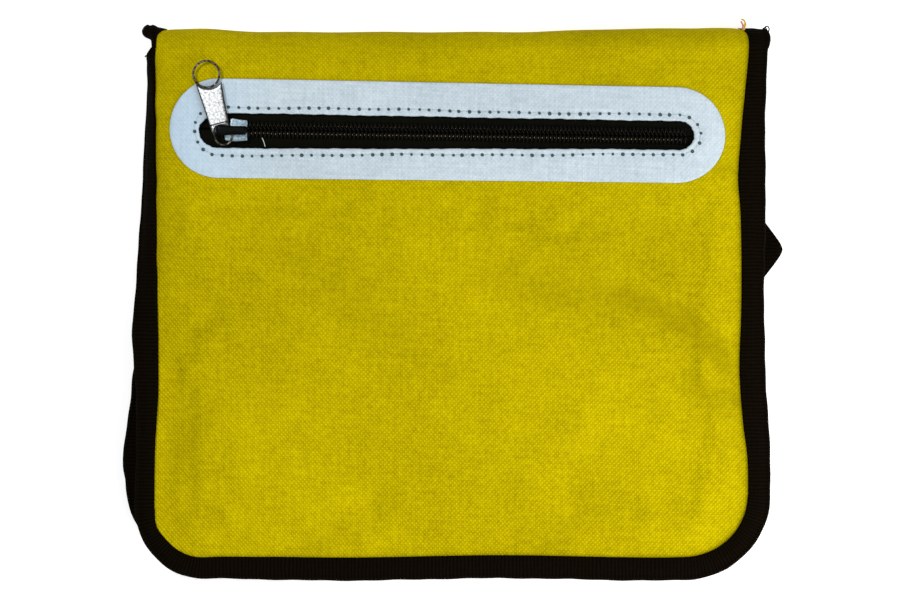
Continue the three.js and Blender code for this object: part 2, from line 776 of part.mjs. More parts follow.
const frontLevel = 2 * wallCloth + compartmentDepth;
const frontSink = frontLevel - (frontSeam + bindingHeight - legStart);
const onFront = wallPlace(frontLevel, 1, frontSink);
const onBack = wallPlace(0, -1, legStart);

const gussetTop = bodyShape.top - lapRise - 2 * clearance;
const sideShares = [0.16, 0.2, 0.24, 0.29, 0.34, 0.39, 0.45, 0.5, 0.6, 0.75, 0.88];
const sideMarks = sideShares.map((share) => bodyShape.top * share);

const frontPanel = () =>
  panel({
    shape: bodyShape,
    place: onFront,
    thickness: padded(boundEdge, wallCloth, bodyShape),
    runs: upwardRuns(bodyShape.radii[0], 5, sideMarks, bodyShape.top),
    columns: acrossShares(edgeShares, 4),
  });

// The back wall climbs onto the inner face of the flap's end, between the bindings, and is sewn
// to it there.
function backPanel() {
  const { top, radii } = bodyShape;
  const step = clearance / 2;
  const lapped = (side, sign) => (run) => (run > top + step ? sign * lapHalfWidth : bodyShape[side](run));
  const shape = outline({
    left: lapped("left", -1),
    right: lapped("right", 1),
    radii,
    top: top + lapLength,
  });
  const climb = (x, run) =>
    ease(run, top - lapRise, top) * (1 - ease(Math.abs(x), lapHalfWidth, lapHalfWidth + 8));
  const place = (x, run, lift) => {
    const point = onBack(x, run, lift);
    return point.setZ(point.z + (flapCloth + clearance) * climb(x, run));
  };
  const thickness = (x, run) => {
    const full = padded(boundEdge, wallCloth, bodyShape)(x, run);
    return THREE.MathUtils.lerp(full, boundEdge, climb(x, run));
  };
  const marks = [...sideMarks, top - lapRise, top - lapRise / 2, top, top + 2 * step];
  return panel({
    shape,
    place,
    thickness,
    runs: [...upwardRuns(radii[0], 5, marks, shape.top)],
    columns: acrossShares(edgeShares, 4),
  });
}

const wallBinding = (place) =>
  binding({
    stations: bodyShape.path([...sideMarks, bodyShape.top], 5, 3),
    place,
    width: () => bindingWidth,
  });

// A black strip between the walls, folded inwards like a bellows: its two legs lie in the front
// and the back seam, and meet in a round fold at the inner end.
function gusset(stations, depths) {
  const lowLeg = legStart + boundEdge + clearance;
  const highLeg = frontSeam + tape + clearance;
  const lift = wallCloth + clearance - lowLeg;
  const rings = stations.map((station, i) => {
    const depth = gussetDepth * read(depths, "along", "depth", i / (stations.length - 1));
    const inSeam = Math.min(bindingWidth + 0.5, depth - 3);
    const low = lowLeg + lift;
    const high = highLeg + gussetCloth;
    const turn = (high - low) * 0.3;
    const section = [
      [0, lowLeg],
      [inSeam, lowLeg],
      [inSeam + 2, low],
      [depth - turn, low],
      [depth, low + turn],
      [depth, high - turn],
      [depth - turn, high],
      [0, high],
      [0, highLeg],
      [depth - turn - 0.2, highLeg],
      [depth - gussetCloth, highLeg - 0.5],
      [depth - gussetCloth, low + turn],
      [depth - turn - 0.2, low + gussetCloth],
      [inSeam + 2, low + gussetCloth],
      [inSeam, lowLeg + gussetCloth],
      [0, lowLeg + gussetCloth],
    ];
    const [inX, inRun] = station.inward;
    const foot = bottomEdge + bodyBottomInset + legStart;
    return section.map(
      ([inwards, z]) =>
        new THREE.Vector3(station.x + inX * inwards, foot + station.run + inRun * inwards, z),
    );
  });
  return loft(rings);
}

const gussetStations = bodyShape.path([...sideMarks.slice(0, -1), gussetTop], 5, 3);
const strip = (place) => gussetStations.filter((station) => station.place === place);

// Side strips stop short of the bottom strip by the clearance.
function sideGusset(place) {
  const stations = place === "left" ? strip(place) : strip(place).reverse();
  const last = stations.at(-1);
  const foot = bodyShape.radii[0] + clearance;
  const kept = stations.filter((station) => station.run > foot + 1);
  return gusset([...kept, { ...last, x: bodyShape[place](foot), run: foot }], sideGussetDepths);
}

function bottomGusset() {
  const corner = bodyShape.radii[0];
  const first = { x: bodyShape.left(corner), run: corner, inward: [1, 0] };
  return gusset([first, ...strip("bottom")], bottomGussetDepths);
}

// Tape folded to a point, its two ends sewn into the right-hand seam.
function sideTab() {
  const tipY = topEdge - tabFromTop;
  const root = bodyShape.right(tipY - bottomEdge - bodyBottomInset - legStart);
  const start = root + legStart + clearance;
  const tipX = root + tabReach;
  const shape = new THREE.Shape();
  const round = tabHalfBase * 0.16;
  shape.moveTo(start, tipY - tabHalfBase);
  shape.lineTo(tipX - round / 2, tipY - round * 1.2);
  shape.quadraticCurveTo(tipX + round / 2, tipY, tipX - round / 2, tipY + round * 1.2);
  shape.lineTo(start, tipY + tabHalfBase);
  const options = { depth: tabCloth, bevelEnabled: false, curveSegments: 6 };
  const middle = bindingHeight + seamGap / 2;
  return new THREE.ExtrudeGeometry(shape, options).translate(0, 0, middle - tabCloth / 2);
}

// Finishes, and the bag put together

const finish = (color, roughness, metalness = 0) =>
  new THREE.MeshStandardMaterial({ color, roughness, metalness });
const yellowCloth = finish(0xbda900, 0.85);
const blackTape = finish(0x14110d, 0.9);
const blackCloth = finish(0x17150f, 0.9);
const reflectiveCloth = finish(0xbfd0dc, 0.55);
const blackNylon = finish(0x12100b, 0.45);
const silver = finish(0xc9ccd0, 0.35, 1);
const blackMetal = finish(0x15171a, 0.3, 1);

const bag = new THREE.Group();

function add(name, geometry, material, parent = bag) {
  const mesh = new THREE.Mesh(geometry, material);
  mesh.name = name;
  parent.add(mesh);
  return mesh;
}

add("back_panel", backPanel(), yellowCloth);
add("front_panel", frontPanel(), yellowCloth);
add("gusset_left", sideGusset("left"), blackCloth);
add("gusset_right", sideGusset("right"), blackCloth);
add("gusset_bottom", bottomGusset(), blackCloth);
add("back_binding", wallBinding(onBack), blackTape);
add("front_binding", wallBinding(onFront), blackTape);
add("side_tab", sideTab(), blackTape);
add("flap", flap(), yellowCloth);
add("flap_binding", flapBinding(), blackTape);
add("pocket_back", pocketBack(), blackCloth);
add("zip_surround", zipSurround(), reflectiveCloth);

bag.add(zipFrame);
add("zip_tape_upper", zipTape(1), blackTape, zipFrame);
add("zip_tape_lower", zipTape(-1), blackTape, zipFrame);
add("zip_coil_upper", zipCoil(1), blackNylon, zipFrame);
add("zip_coil_lower", zipCoil(-1), blackNylon, zipFrame);
add("slider_body", sliderBody(), silver, zipFrame);
add("slider_crown", sliderCrown(), blackMetal, zipFrame);

const puller = add("slider_puller", sliderPuller(), silver, zipFrame);
puller.position.set(postMiddle, 0, pullerFoot);
puller.rotation.z = pullerAngle - zipTilt;

export default bag;
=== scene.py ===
# %% [markdown]
# # A foldable cooler bag, folded flat
# A thin insulated bag lies on its back. Its padded yellow flap turns over the top edge, carries a
# zipped pocket in a pale surround, and is bound in ribbed black tape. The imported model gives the
# frame: every piece made here takes the place of one of its solids, in the same coordinates.

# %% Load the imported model
import math
import bmesh
import bpy
import numpy as np
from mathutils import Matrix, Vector


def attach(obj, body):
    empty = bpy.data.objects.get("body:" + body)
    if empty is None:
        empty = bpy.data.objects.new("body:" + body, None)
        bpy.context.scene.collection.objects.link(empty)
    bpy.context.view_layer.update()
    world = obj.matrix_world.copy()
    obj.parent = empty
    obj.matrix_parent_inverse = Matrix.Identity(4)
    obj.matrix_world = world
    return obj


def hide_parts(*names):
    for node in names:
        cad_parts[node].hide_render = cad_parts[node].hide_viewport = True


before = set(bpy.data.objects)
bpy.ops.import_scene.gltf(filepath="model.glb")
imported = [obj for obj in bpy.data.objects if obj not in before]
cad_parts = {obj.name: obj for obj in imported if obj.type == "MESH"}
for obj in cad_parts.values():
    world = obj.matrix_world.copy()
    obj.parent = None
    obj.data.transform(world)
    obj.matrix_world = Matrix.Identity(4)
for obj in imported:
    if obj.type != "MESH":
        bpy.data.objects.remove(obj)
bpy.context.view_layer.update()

MM = 0.001

# %% [markdown]
# The photograph looks straight down at the bag, with the fold at the top. An orthographic camera
# would do too, but a long lens high above the middle keeps the sides as upright and still lets the
# other views show depth. Its angle follows from the bag's size: one pixel is 0.38 mm on the flap.

# %% Camera
PIXEL = 0.38 * MM
PICTURE_WIDTH = 900
SENSOR = 36
CLOTH_HEIGHT = 0.0145
CAMERA_DISTANCE = 1.5
OFF_CENTRE = 3  # pixels

camera_data = bpy.data.cameras.new("camera")
camera_data.sensor_width = SENSOR
camera_data.lens = SENSOR * CAMERA_DISTANCE / (PICTURE_WIDTH * PIXEL)
camera_data.clip_end = 10
camera = bpy.data.objects.new("camera", camera_data)
aside = OFF_CENTRE * PIXEL
camera.location = (-aside, aside, CLOTH_HEIGHT + CAMERA_DISTANCE)
bpy.context.collection.objects.link(camera)
bpy.context.scene.camera = camera
print("lens", round(camera_data.lens, 1), "mm")

# %% [markdown]
# A mesh could be built with operators, face by face. Here every shape is a function of two
# numbers, worked out for a whole grid at once with numpy, which is faster and exact to repeat. The
# points are kept in millimetres and turned to metres in one place. The flat pattern's coordinates
# go along as a UV map, so that the weave follows the cloth round a fold, as a real one does.

# %% Arrays to pieces
def grid_quads(rows, columns, round_rows=False, round_columns=False):
    """Four vertex numbers for each cell of a grid, whose ends may be joined into rings."""
    i = np.arange(rows if round_rows else rows - 1)
    j = np.arange(columns if round_columns else columns - 1)
    i, j = np.meshgrid(i, j, indexing="ij")
    here, over = i * columns, ((i + 1) % rows) * columns
    k = (j + 1) % columns
    return np.stack([here + j, here + k, over + k, over + j], axis=-1).reshape(-1, 4)


def many(rows, columns, copies):
    """The faces of many small forms, each a grid whose columns are joined into rings."""
    step = (np.arange(copies) * rows * columns)[:, None, None]
    return (grid_quads(rows, columns, round_columns=True)[None] + step).reshape(-1, 4)


def make_piece(name, points, quads, pattern=None, painted_shade=None):
    """A smooth mesh object from points and pattern coordinates in millimetres. The last argument
    says, from 0 to 1, how much painted shade darkens each point."""
    points = np.asarray(points, float).reshape(-1, 3) * MM
    mesh = bpy.data.meshes.new(name)
    mesh.vertices.add(len(points))
    mesh.vertices.foreach_set("co", points.ravel())
    mesh.loops.add(quads.size)
    mesh.loops.foreach_set("vertex_index", quads.ravel())
    mesh.polygons.add(len(quads))
    mesh.polygons.foreach_set("loop_start", np.arange(len(quads)) * quads.shape[1])
    mesh.polygons.foreach_set("use_smooth", np.ones(len(quads), bool))
    if pattern is not None:
        flat = np.asarray(pattern, float).reshape(-1, 2) * MM
        layer = mesh.uv_layers.new(name="pattern")
        layer.data.foreach_set("uv", flat[quads.ravel()].ravel())
    if painted_shade is not None:
        layer = mesh.attributes.new("painted_shade", "FLOAT", "POINT")
        layer.data.foreach_set("value", np.asarray(painted_shade, float).ravel())
    mesh.update(calc_edges=True)
    mesh.validate()
    piece = bpy.data.objects.new(name, mesh)
    bpy.context.collection.objects.link(piece)
    print(name, len(points), "points")
    return piece


def weld(piece):
    """Join the points that lie on one another, drop faces without area, and turn all faces out."""
    shape = bmesh.new()
    shape.from_mesh(piece.data)
    bmesh.ops.remove_doubles(shape, verts=shape.verts, dist=1e-6)
    bmesh.ops.dissolve_degenerate(shape, edges=shape.edges, dist=1e-7)
    bmesh.ops.recalc_face_normals(shape, faces=shape.faces)
    shape.to_mesh(piece.data)
    shape.free()
    return piece


def thicken(piece, thickness, offset=-1.0):
    """A wall of even thickness, in millimetres, grown inwards from the outer face."""
    wall = piece.modifiers.new("wall", "SOLIDIFY")
    wall.thickness = thickness * MM
    wall.offset = offset
    wall.use_even_offset = False
    return piece


# %% [markdown]
# The same few sums come back in every shape: a bell for a soft bump, a smooth step for a soft
# change, a curve through a table for an edge that was measured. Each has a name of its own,
# so that the formulas below stay short.

# %% Sums used by many pieces
def unit(vectors):
    """Each vector divided by its own length."""
    return vectors / np.linalg.norm(vectors, axis=-1, keepdims=True)


def circle(count):
    """The angles of even points round a circle."""
    return np.linspace(0, 2 * math.pi, count + 1)[:-1]


def full_circle(count, power_across, power_up):
    """cos and sin, each drawn out to a power below 1: a circle with fuller corners."""
    c, s = np.cos(circle(count)), np.sin(circle(count))
    return np.sign(c) * np.abs(c) ** power_across, np.sign(s) * np.abs(s) ** power_up


def bell(distance, width):
    """1 in the middle, fading outwards: exp(-(distance / width)^2)."""
    return np.exp(-((distance / width) ** 2))


def smooth_step(value, low, high):
    """0 below low, 1 above high, and a soft S between them: 3t^2 - 2t^3."""
    t = np.clip((value - low) / (high - low), 0, 1)
    return t * t * (3 - 2 * t)


def pair(u, v):
    """Two arrays of coordinates as one array of points."""
    return np.stack(np.broadcast_arrays(u, v), axis=-1)


def path_length(x, y):
    """The length along a line up to each of its points."""
    return np.concatenate([[0], np.cumsum(np.hypot(np.diff(x), np.diff(y)))])


def sheet_area(grid):
    """A grid's area in square metres: half the cross product of each cell's diagonals."""
    one = grid[1:, 1:] - grid[:-1, :-1]
    two = grid[1:, :-1] - grid[:-1, 1:]
    return float(np.linalg.norm(np.cross(one, two), axis=-1).sum() / 2 * MM * MM)


def read(table, column, at):
    """A smooth curve through a table's rows: cubic, with the slope of its neighbours at each
    row and level ends."""
    keys, values = table[:, 0], table[:, column]
    at = np.clip(at, keys[0], keys[-1])
    q = np.clip(np.searchsorted(keys, at, side="right"), 1, len(keys) - 1)
    p = q - 1
    slopes = np.zeros_like(values)
    slopes[1:-1] = (values[2:] - values[:-2]) / (keys[2:] - keys[:-2])
    span = keys[q] - keys[p]
    s = (at - keys[p]) / span
    return (
        (2 * s**3 - 3 * s**2 + 1) * values[p]
        + (s**3 - 2 * s**2 + s) * slopes[p] * span
        + (3 * s**2 - 2 * s**3) * values[q]
        + (s**3 - s**2) * slopes[q] * span
    )


print("a bell at its width", round(float(bell(1.0, 1.0)), 3))

# %% [markdown]
# ## The flap's shape
# The flap is one cloth: it lies flat, turns round the top fold on a round of 8.1 mm, and ends
# on the back. Its left edge rolls down over the bag's side and its right edge droops a little.
# It could be sculpted, but the tape, the patch and the stitches have to lie on the very same
# surface. So the shape is a function that they all call, and two tables hold where the bound edge
# runs, how much of the tape shows and how far it rolls.

# %% Sizes shared by the cloth pieces, in millimetres
flap_half_width, flap_height = 118.0, 209.5
corner_left, corner_right = 27.0, 32.0
clearance, tape, bound_edge, inner_edge = 0.3, 0.8, 1.2, 0.8
binding_width = 9.2
flap_cloth, wall_cloth, pocket_cloth, pocket_depth = 1.6, 2.4, 1.0, 2.4
compartment_depth, rest_gap, seam_gap = 6.0, 0.4, 0.5
flap_sink, sink_width, roll_width = 1.9, 13.0, 7.0
body_top_inset, body_bottom_inset, body_corner, body_half_width = 16.75, 6.0, 30.0, 113.0
panel_wall = 1.2

front_level = 2 * wall_cloth + compartment_depth
top_level = front_level + rest_gap + pocket_cloth + pocket_depth + flap_cloth
fold_radius = top_level / 2
leg_start = tape + clearance
bottom_edge, top_edge = -flap_height / 2, flap_height / 2
flap_foot = bottom_edge + leg_start
body_foot = bottom_edge + body_bottom_inset + leg_start
body_top = top_edge - body_top_inset
fold_start = flap_height - fold_radius
crest = fold_start + fold_radius * math.pi / 2
fold_end = fold_start + fold_radius * math.pi
flap_run = fold_end + top_edge - fold_radius - body_top - seam_gap
binding_height = 2 * tape + 3 * clearance + bound_edge + inner_edge
print("flap's flat length", round(flap_run, 1), "mm, fold radius", fold_radius, "mm")

# down the cloth from the crest, as a share of its height; the seam, as a share of the half
# width; the tape's width, as a share of its full width; the roll, in degrees
flap_left = np.array([
    (-0.15, 0.930, 0.66, 0), (-0.06, 0.938, 0.48, 3), (0.00, 0.941, 0.42, 5),
    (0.012, 0.951, 0.26, 5), (0.03, 0.956, 0.17, 6), (0.060, 0.957, 0.17, 12),
    (0.076, 0.958, 0.42, 26), (0.09, 0.959, 0.47, 44), (0.12, 0.959, 0.78, 64),
    (0.15, 0.959, 0.95, 67), (0.24, 0.957, 1.00, 59), (0.335, 0.955, 1.02, 50),
    (0.426, 0.954, 1.04, 39), (0.517, 0.951, 1.02, 19), (0.58, 0.949, 1.08, 6),
    (0.65, 0.948, 1.00, 2), (0.70, 0.949, 0.88, 1), (0.78, 0.958, 0.78, 1),
    (0.86, 0.961, 0.78, 1), (1.02, 0.961, 0.84, 1),
])
flap_right = np.array([
    (-0.15, 0.915, 1.00, 0), (-0.06, 0.922, 0.98, 2), (0.00, 0.922, 1.10, 3),
    (0.009, 0.932, 1.04, 3), (0.022, 0.946, 0.92, 4), (0.045, 0.952, 0.86, 4),
    (0.08, 0.951, 0.77, 4), (0.15, 0.939, 0.87, 4), (0.21, 0.929, 0.97, 4),
    (0.30, 0.918, 1.12, 4), (0.37, 0.926, 1.03, 4), (0.48, 0.929, 0.93, 4),
    (0.56, 0.927, 0.96, 4), (0.645, 0.922, 1.07, 4), (0.735, 0.932, 1.05, 4),
    (0.81, 0.948, 0.94, 4), (0.87, 0.950, 0.91, 4), (1.02, 0.950, 0.93, 4),
])

# %% [markdown]
# Every cloth panel has the same kind of outline: two side edges that wander a little, and two
# rounded corners. A curve object could draw it, but couldn't say how far inside the edge a point
# lies, and that is what drives the squeeze of the padding under the tape. One small class does
# both.

# %% Outlines
class Outline:
    """A U-shaped pattern. left(run) and right(run) give the side edges in millimetres."""

    def __init__(self, left, right, radii, top):
        self.left, self.right, self.radii, self.top = left, right, radii, top

    def limits(self, run):
        """Side edges less the corners' arcs: radius - sqrt(radius^2 - (radius - run)^2)."""
        dips = []
        for radius in self.radii:
            short = np.clip(radius - run, 0, radius)
            dips.append(radius - np.sqrt(radius**2 - short**2))
        return self.left(run) + dips[0], self.right(run) - dips[1]

    def inside(self, x, run):
        """Distance in from the edge: the nearer of the side and the bottom, or of the arc."""
        gaps = []
        sides = (x - self.left(run), self.right(run) - x)
        for across, radius in zip(sides, self.radii):
            corner = radius - np.hypot(radius - across, radius - run)
            straight = np.minimum(across, run)
            gaps.append(np.where((across < radius) & (run < radius), corner, straight))
        return np.minimum(*gaps)

    def path(self, side_step, corner_steps, bottom_steps):
        """Stations round the edge from the left top to the right top: x, run, inward direction,
        the length along the edge, and -1 or 1 for the left or right half."""
        r1, r2 = self.radii
        n1 = max(int((self.top - r1) / side_step), 2)
        n2 = max(int((self.top - r2) / side_step), 2)
        up1 = np.linspace(self.top, r1, n1 + 1)
        up2 = np.linspace(r2, self.top, n2 + 1)
        a = np.linspace(0, math.pi / 2, corner_steps + 1)[1:]
        b = a + math.pi / 2
        x0, x1 = self.left(np.zeros(1))[0], self.right(np.zeros(1))[0]
        across = np.linspace(x0 + r1, x1 - r2, bottom_steps + 1)[1:]
        c1 = self.left(np.array([r1]))[0] + r1 * (1 - np.cos(a)), r1 * (1 - np.sin(a))
        c2 = self.right(np.array([r2]))[0] - r2 * (1 + np.cos(b)), r2 * (1 - np.sin(b))
        x = np.concatenate([self.left(up1), c1[0], across, c2[0], self.right(up2)[1:]])
        run = np.concatenate([up1, c1[1], 0 * across, c2[1], up2[1:]])
        angle = [0 * up1, a, 0 * across + math.pi / 2, b, 0 * up2[1:] + math.pi]
        angle = np.concatenate(angle)
        side = np.sign(x - (x0 + x1) / 2)
        return x, run, np.stack([np.cos(angle), np.sin(angle)]), path_length(x, run), side


def recovery(shape, x, run):
    """0 under the tape and 1 where the padding is full again."""
    return smooth_step(shape.inside(x, run), binding_width, binding_width + sink_width)


print("padding is full", binding_width + sink_width, "mm in from an edge")

# %% [markdown]
# The flap's edge is known as it lies, bent over the side, so the flat pattern is found from it by
# unrolling the bend. A bend modifier could roll an edge back, but only by the same turn all along.
# So the way from the flat pattern to the folded bag is one formula, which places any point of the
# cloth, its tape or the zip's surround.

# %% Where a point of the flat flap comes to lie
def flap_side(x, run):
    """Seam, tape width and roll of the nearer side edge."""
    down = (crest - np.maximum(run, 0)) / flap_height
    seam, width, roll = (
        np.where(x < 0, read(flap_left, column, down), read(flap_right, column, down))
        for column in (1, 2, 3)
    )
    return seam * flap_half_width, width * binding_width, np.radians(np.maximum(roll, 0.05))


def cloth_edge(side, run):
    """The cut edge: the bend's start, the cloth in the bend, and what the tape hides."""
    seam, width, roll = flap_side(side, run)
    return seam - roll_width / roll * np.sin(roll) + roll_width + width - leg_start


flap_shape = Outline(
    lambda run: -cloth_edge(-1.0, np.maximum(run, corner_left)),
    lambda run: cloth_edge(1.0, np.maximum(run, corner_right)),
    (corner_left - leg_start, corner_right - leg_start),
    flap_run,
)


def on_flap(x, run, lift):
    """A point of the flat pattern, carried round the rolled side edge (an arc, then straight)
    and round the top fold (half a turn), and lifted along the outward normal."""
    x, run, lift = np.broadcast_arrays(np.asarray(x, float), run, lift)
    seam, _, roll = flap_side(x, run)
    radius = roll_width / roll
    start = seam - radius * np.sin(roll)
    beyond = np.maximum(np.abs(x) - start, 0)
    tilt = roll * np.minimum(beyond / roll_width, 1)
    straight = np.maximum(beyond - roll_width, 0)
    out_x = np.minimum(np.abs(x), start) + radius * np.sin(tilt) + straight * np.cos(tilt)
    drop = radius * (1 - np.cos(tilt)) + straight * np.sin(tilt)
    most = flap_sink + (leg_start - flap_sink) * smooth_step(run, fold_start, fold_end)
    inwards = most * (1 - recovery(flap_shape, x, run)) + drop - lift * np.cos(tilt)
    turn = np.clip((run - fold_start) / fold_radius, 0, math.pi)
    past = np.maximum(run - fold_end, 0)
    on_back_y = top_edge - fold_radius + fold_radius * np.sin(turn) - past
    y = np.where(run <= fold_start, flap_foot + run, on_back_y)
    z = np.where(run <= fold_start, top_level, fold_radius * (1 + np.cos(turn)))
    return np.stack([
        np.sign(x) * (out_x + lift * np.sin(tilt)),
        y - np.sin(turn) * inwards,
        z - np.cos(turn) * inwards,
    ], axis=-1)


print("flap's lowest row", on_flap(0.0, 0.0, 0.0))

# %% [markdown]
# ## The flap's cloth
# Real padded cloth is never quite flat. Noise could stand for that, but it has no notion of where
# the cloth is held. So a sheet in the flap's flat pattern, held at the bound edges and round the
# zip, goes through a short cloth simulation that lets it grow a little and puffs it. What the
# simulation adds is capped and laid on the shape above as a height, and everything that is sewn to
# the flap follows the same surface.

# %% Simulated ripples
ripple_step = 5.0
ripple_x = np.arange(-125, 125.1, ripple_step)
ripple_run = np.arange(0, flap_run + ripple_step, ripple_step)
ripple_floor, ripple_roof = -0.9, 1.1
last_frame = 18
zip_x, zip_y, zip_tilt = -2.1, top_edge - 39.95, math.radians(-0.9)


def ripples_held(x, run):
    """1 where the sheet can't move: under the tape, round the zip, and from the fold on."""
    from_edge = flap_shape.inside(x, run)
    by_tape = 1 - smooth_step(from_edge, binding_width, binding_width + 16)
    beside_zip = np.maximum(np.abs(x - zip_x) - 90, 0)
    by_zip = 1 - smooth_step(np.hypot(beside_zip, run + flap_foot - zip_y), 20, 34)
    by_fold = smooth_step(run, fold_start - 12, fold_start)
    return np.maximum(np.maximum(by_tape, by_zip), by_fold)


def simulate_ripples():
    """Heights in millimetres on the ripple grid: the cloth's growth of 1 per cent and a small
    pressure push it up or down wherever it isn't held."""
    x, run = np.meshgrid(ripple_x, ripple_run)
    start = 0.25 * np.sin(x / 23 + run / 31) * np.sin(run / 19 - x / 47)
    points = np.stack([x, run, start], axis=-1)
    sheet = make_piece("ripple_sheet", points, grid_quads(*x.shape))
    held = ripples_held(x, run)
    group = sheet.vertex_groups.new(name="held")
    for index, weight in enumerate(held.ravel()):
        group.add([index], float(weight), "REPLACE")
    settings = sheet.modifiers.new("cloth", "CLOTH").settings
    settings.quality = 6
    settings.mass = 0.2
    settings.tension_stiffness = settings.compression_stiffness = 25
    settings.shear_stiffness = 12
    settings.bending_stiffness = 6
    settings.vertex_group_mass = "held"
    settings.pin_stiffness = 3
    settings.shrink_min = -0.012
    settings.use_pressure = True
    settings.uniform_pressure_force = 0.35
    settings.effector_weights.gravity = 0
    scene = bpy.context.scene
    for number in range(1, last_frame + 1):
        scene.frame_set(number)
    shaped = sheet.evaluated_get(bpy.context.evaluated_depsgraph_get())
    places = np.zeros(len(sheet.data.vertices) * 3)
    shaped.data.vertices.foreach_get("co", places)
    heights = places.reshape(-1, 3)[:, 2].reshape(x.shape) / MM
    scene.frame_set(1)
    bpy.data.objects.remove(sheet, do_unlink=True)
    return np.clip(heights * (1 - held), ripple_floor, ripple_roof)


ripples = simulate_ripples()
print("ripples from", round(ripples.min(), 2), "to", round(ripples.max(), 2), "mm")

# %% [markdown]
# The photograph also shows one soft crease that runs down to the right edge, and a slight hollow
# along the fold. No simulation would put them in these places, so they are drawn as shallow
# ridges: a bell across a line, faded at its ends.

# %% Creases and the cloth's surface
pucker_height, hollow_depth, rise_by_tape, rise_at_right = 0.16, -1.35, 1.15, 0.55
drift_height = 0.45
creases = [  # from x, y to x, y in millimetres; height and half width
    (66, 2, 86, -5, -0.7, 4.2), (86, -5, 97, -14, -0.9, 4.2), (97, -14, 103, -23, -0.6, 3.6),
    (84, 6, 108, -8, 0.45, 5.0), (92, -30, 111, -38, -0.4, 3.0), (94, -35, 108, -44, -0.3, 2.6),
    (-108, -60, -92, -40, -0.3, 5.0), (95, 55, 111, 48, -0.35, 4.0), (20, 10, 50, 4, -0.25, 9.0),
    (-60, -98, -40, -84, -0.25, 4.0), (30, -98, 48, -82, -0.25, 4.5),
    (-60, 20, -20, -12, -0.2, 10.0),
]


def crease_height(x, y):
    """Sum of bells over the distance to each crease's line."""
    height = np.zeros(np.broadcast(x, y).shape)
    for x0, y0, x1, y1, most, width in creases:
        length = math.hypot(x1 - x0, y1 - y0)
        along = ((x - x0) * (x1 - x0) + (y - y0) * (y1 - y0)) / length
        across = ((x - x0) * (y1 - y0) - (y - y0) * (x1 - x0)) / length
        past = np.maximum(np.maximum(-along, along - length), 0)
        height = height + most * bell(across, width) * bell(past, 1.6 * width)
    return height


def ripple_height(x, run):
    """The ripple grid's height at any place, from its four neighbours."""
    u = np.clip((x - ripple_x[0]) / ripple_step, 0, len(ripple_x) - 1.001)
    v = np.clip((run - ripple_run[0]) / ripple_step, 0, len(ripple_run) - 1.001)
    j, i = u.astype(int), v.astype(int)
    s, t = smooth_step(u - j, 0, 1), smooth_step(v - i, 0, 1)
    low = ripples[i, j] * (1 - s) + ripples[i, j + 1] * s
    high = ripples[i + 1, j] * (1 - s) + ripples[i + 1, j + 1] * s
    return low * (1 - t) + high * t


def relief(x, run):
    """Height over the plain shape: ripples, calmer beside the big crease; the creases; small
    puckers along the tape; and on the fold a hollow in the middle and a rise by the tape."""
    x, run = np.broadcast_arrays(np.asarray(x, float), np.asarray(run, float))
    y = run + flap_foot
    edge = flap_shape.inside(x, run)
    along = np.where(np.abs(x) > 95, run, x)
    pucker = np.sin(along / 3.1) + 0.6 * np.sin(along / 1.9 + 1.3)
    pucker = pucker_height * bell(edge - binding_width - 1, 4.5) * pucker
    front = 1 - smooth_step(run, fold_start - 2, fold_start + 8)
    free = smooth_step(edge, binding_width - 1, binding_width + 5)
    hollow = hollow_depth * smooth_step(x, -98, -70) * (1 - smooth_step(x, 20, 74))
    hollow = hollow + 0.12 * np.sin(x / 5.7)
    rise = rise_by_tape * (1 - recovery(flap_shape, x, run)) + rise_at_right * bell(x - 103, 9.0)
    calm = 1 - 0.65 * bell(x - 92, 22.0) * bell(y - 2, 22.0)
    open_cloth = (ripple_height(x, run) * calm + crease_height(x, y)) * front * free
    return open_cloth + pucker + bell(run - crest, 9.0) * (hollow * free + rise)


def hem_drift(x, run):
    """The bottom edge isn't quite straight: two shallow waves of the cloth's plan, faded up."""
    wave = drift_height * np.cos((x - 18) * math.pi / 60) - 0.05
    ends = smooth_step(x, -108, -84) * (1 - smooth_step(x, 80, 100))
    return wave * ends * (1 - smooth_step(run, 4, 60))


def on_cloth(x, run, lift):
    """The flap's real surface: the plain shape with its relief."""
    points = on_flap(x, run, lift + relief(x, run))
    points[..., 1] += hem_drift(x, run)
    return points


def zip_turned(u, v):
    """The zip's own frame, u along it and v up across it, turned into the bag's x and y."""
    c, s = math.cos(zip_tilt), math.sin(zip_tilt)
    return zip_x + u * c - v * s, zip_y + u * s + v * c


def on_cloth_by_zip(u, v, lift):
    """A point of the zip's frame, laid on the cloth."""
    x, y = zip_turned(u, v)
    return on_cloth(x, y - flap_foot, lift)


print("the middle's height", round(float(relief(0.0, 80.0)), 2), "mm")

# %% [markdown]
# The flap's panel is that surface on a fine grid. A boolean could cut the zip's window, but it
# leaves ragged faces, so the cells inside the window are just left out: the stepped hole is hidden
# under the pale surround. Solidify grows the padding's wall inwards.

# %% Flap panel
def clustered(count, edge_share):
    """Shares from 0 to 1, closer together at both ends."""
    t = np.linspace(0, 1, count)
    return t - edge_share * np.sin(2 * math.pi * t) / (2 * math.pi)


def panel_grid(shape, runs, shares):
    """Rows at the given runs, each divided from the left edge to the right by the shares."""
    low, high = shape.limits(runs)
    x = low[:, None] + (high - low)[:, None] * shares[None, :]
    return x, np.broadcast_to(runs[:, None], x.shape)


def corner_runs(radius, count, top, step):
    """Rows of a panel: by equal angles round the corners, then even."""
    corner = radius * (1 - np.cos(np.linspace(0, math.pi / 2, count)))
    rows = int((top - radius) / step)
    return np.concatenate([corner, np.linspace(radius, top, rows + 1)[1:]])


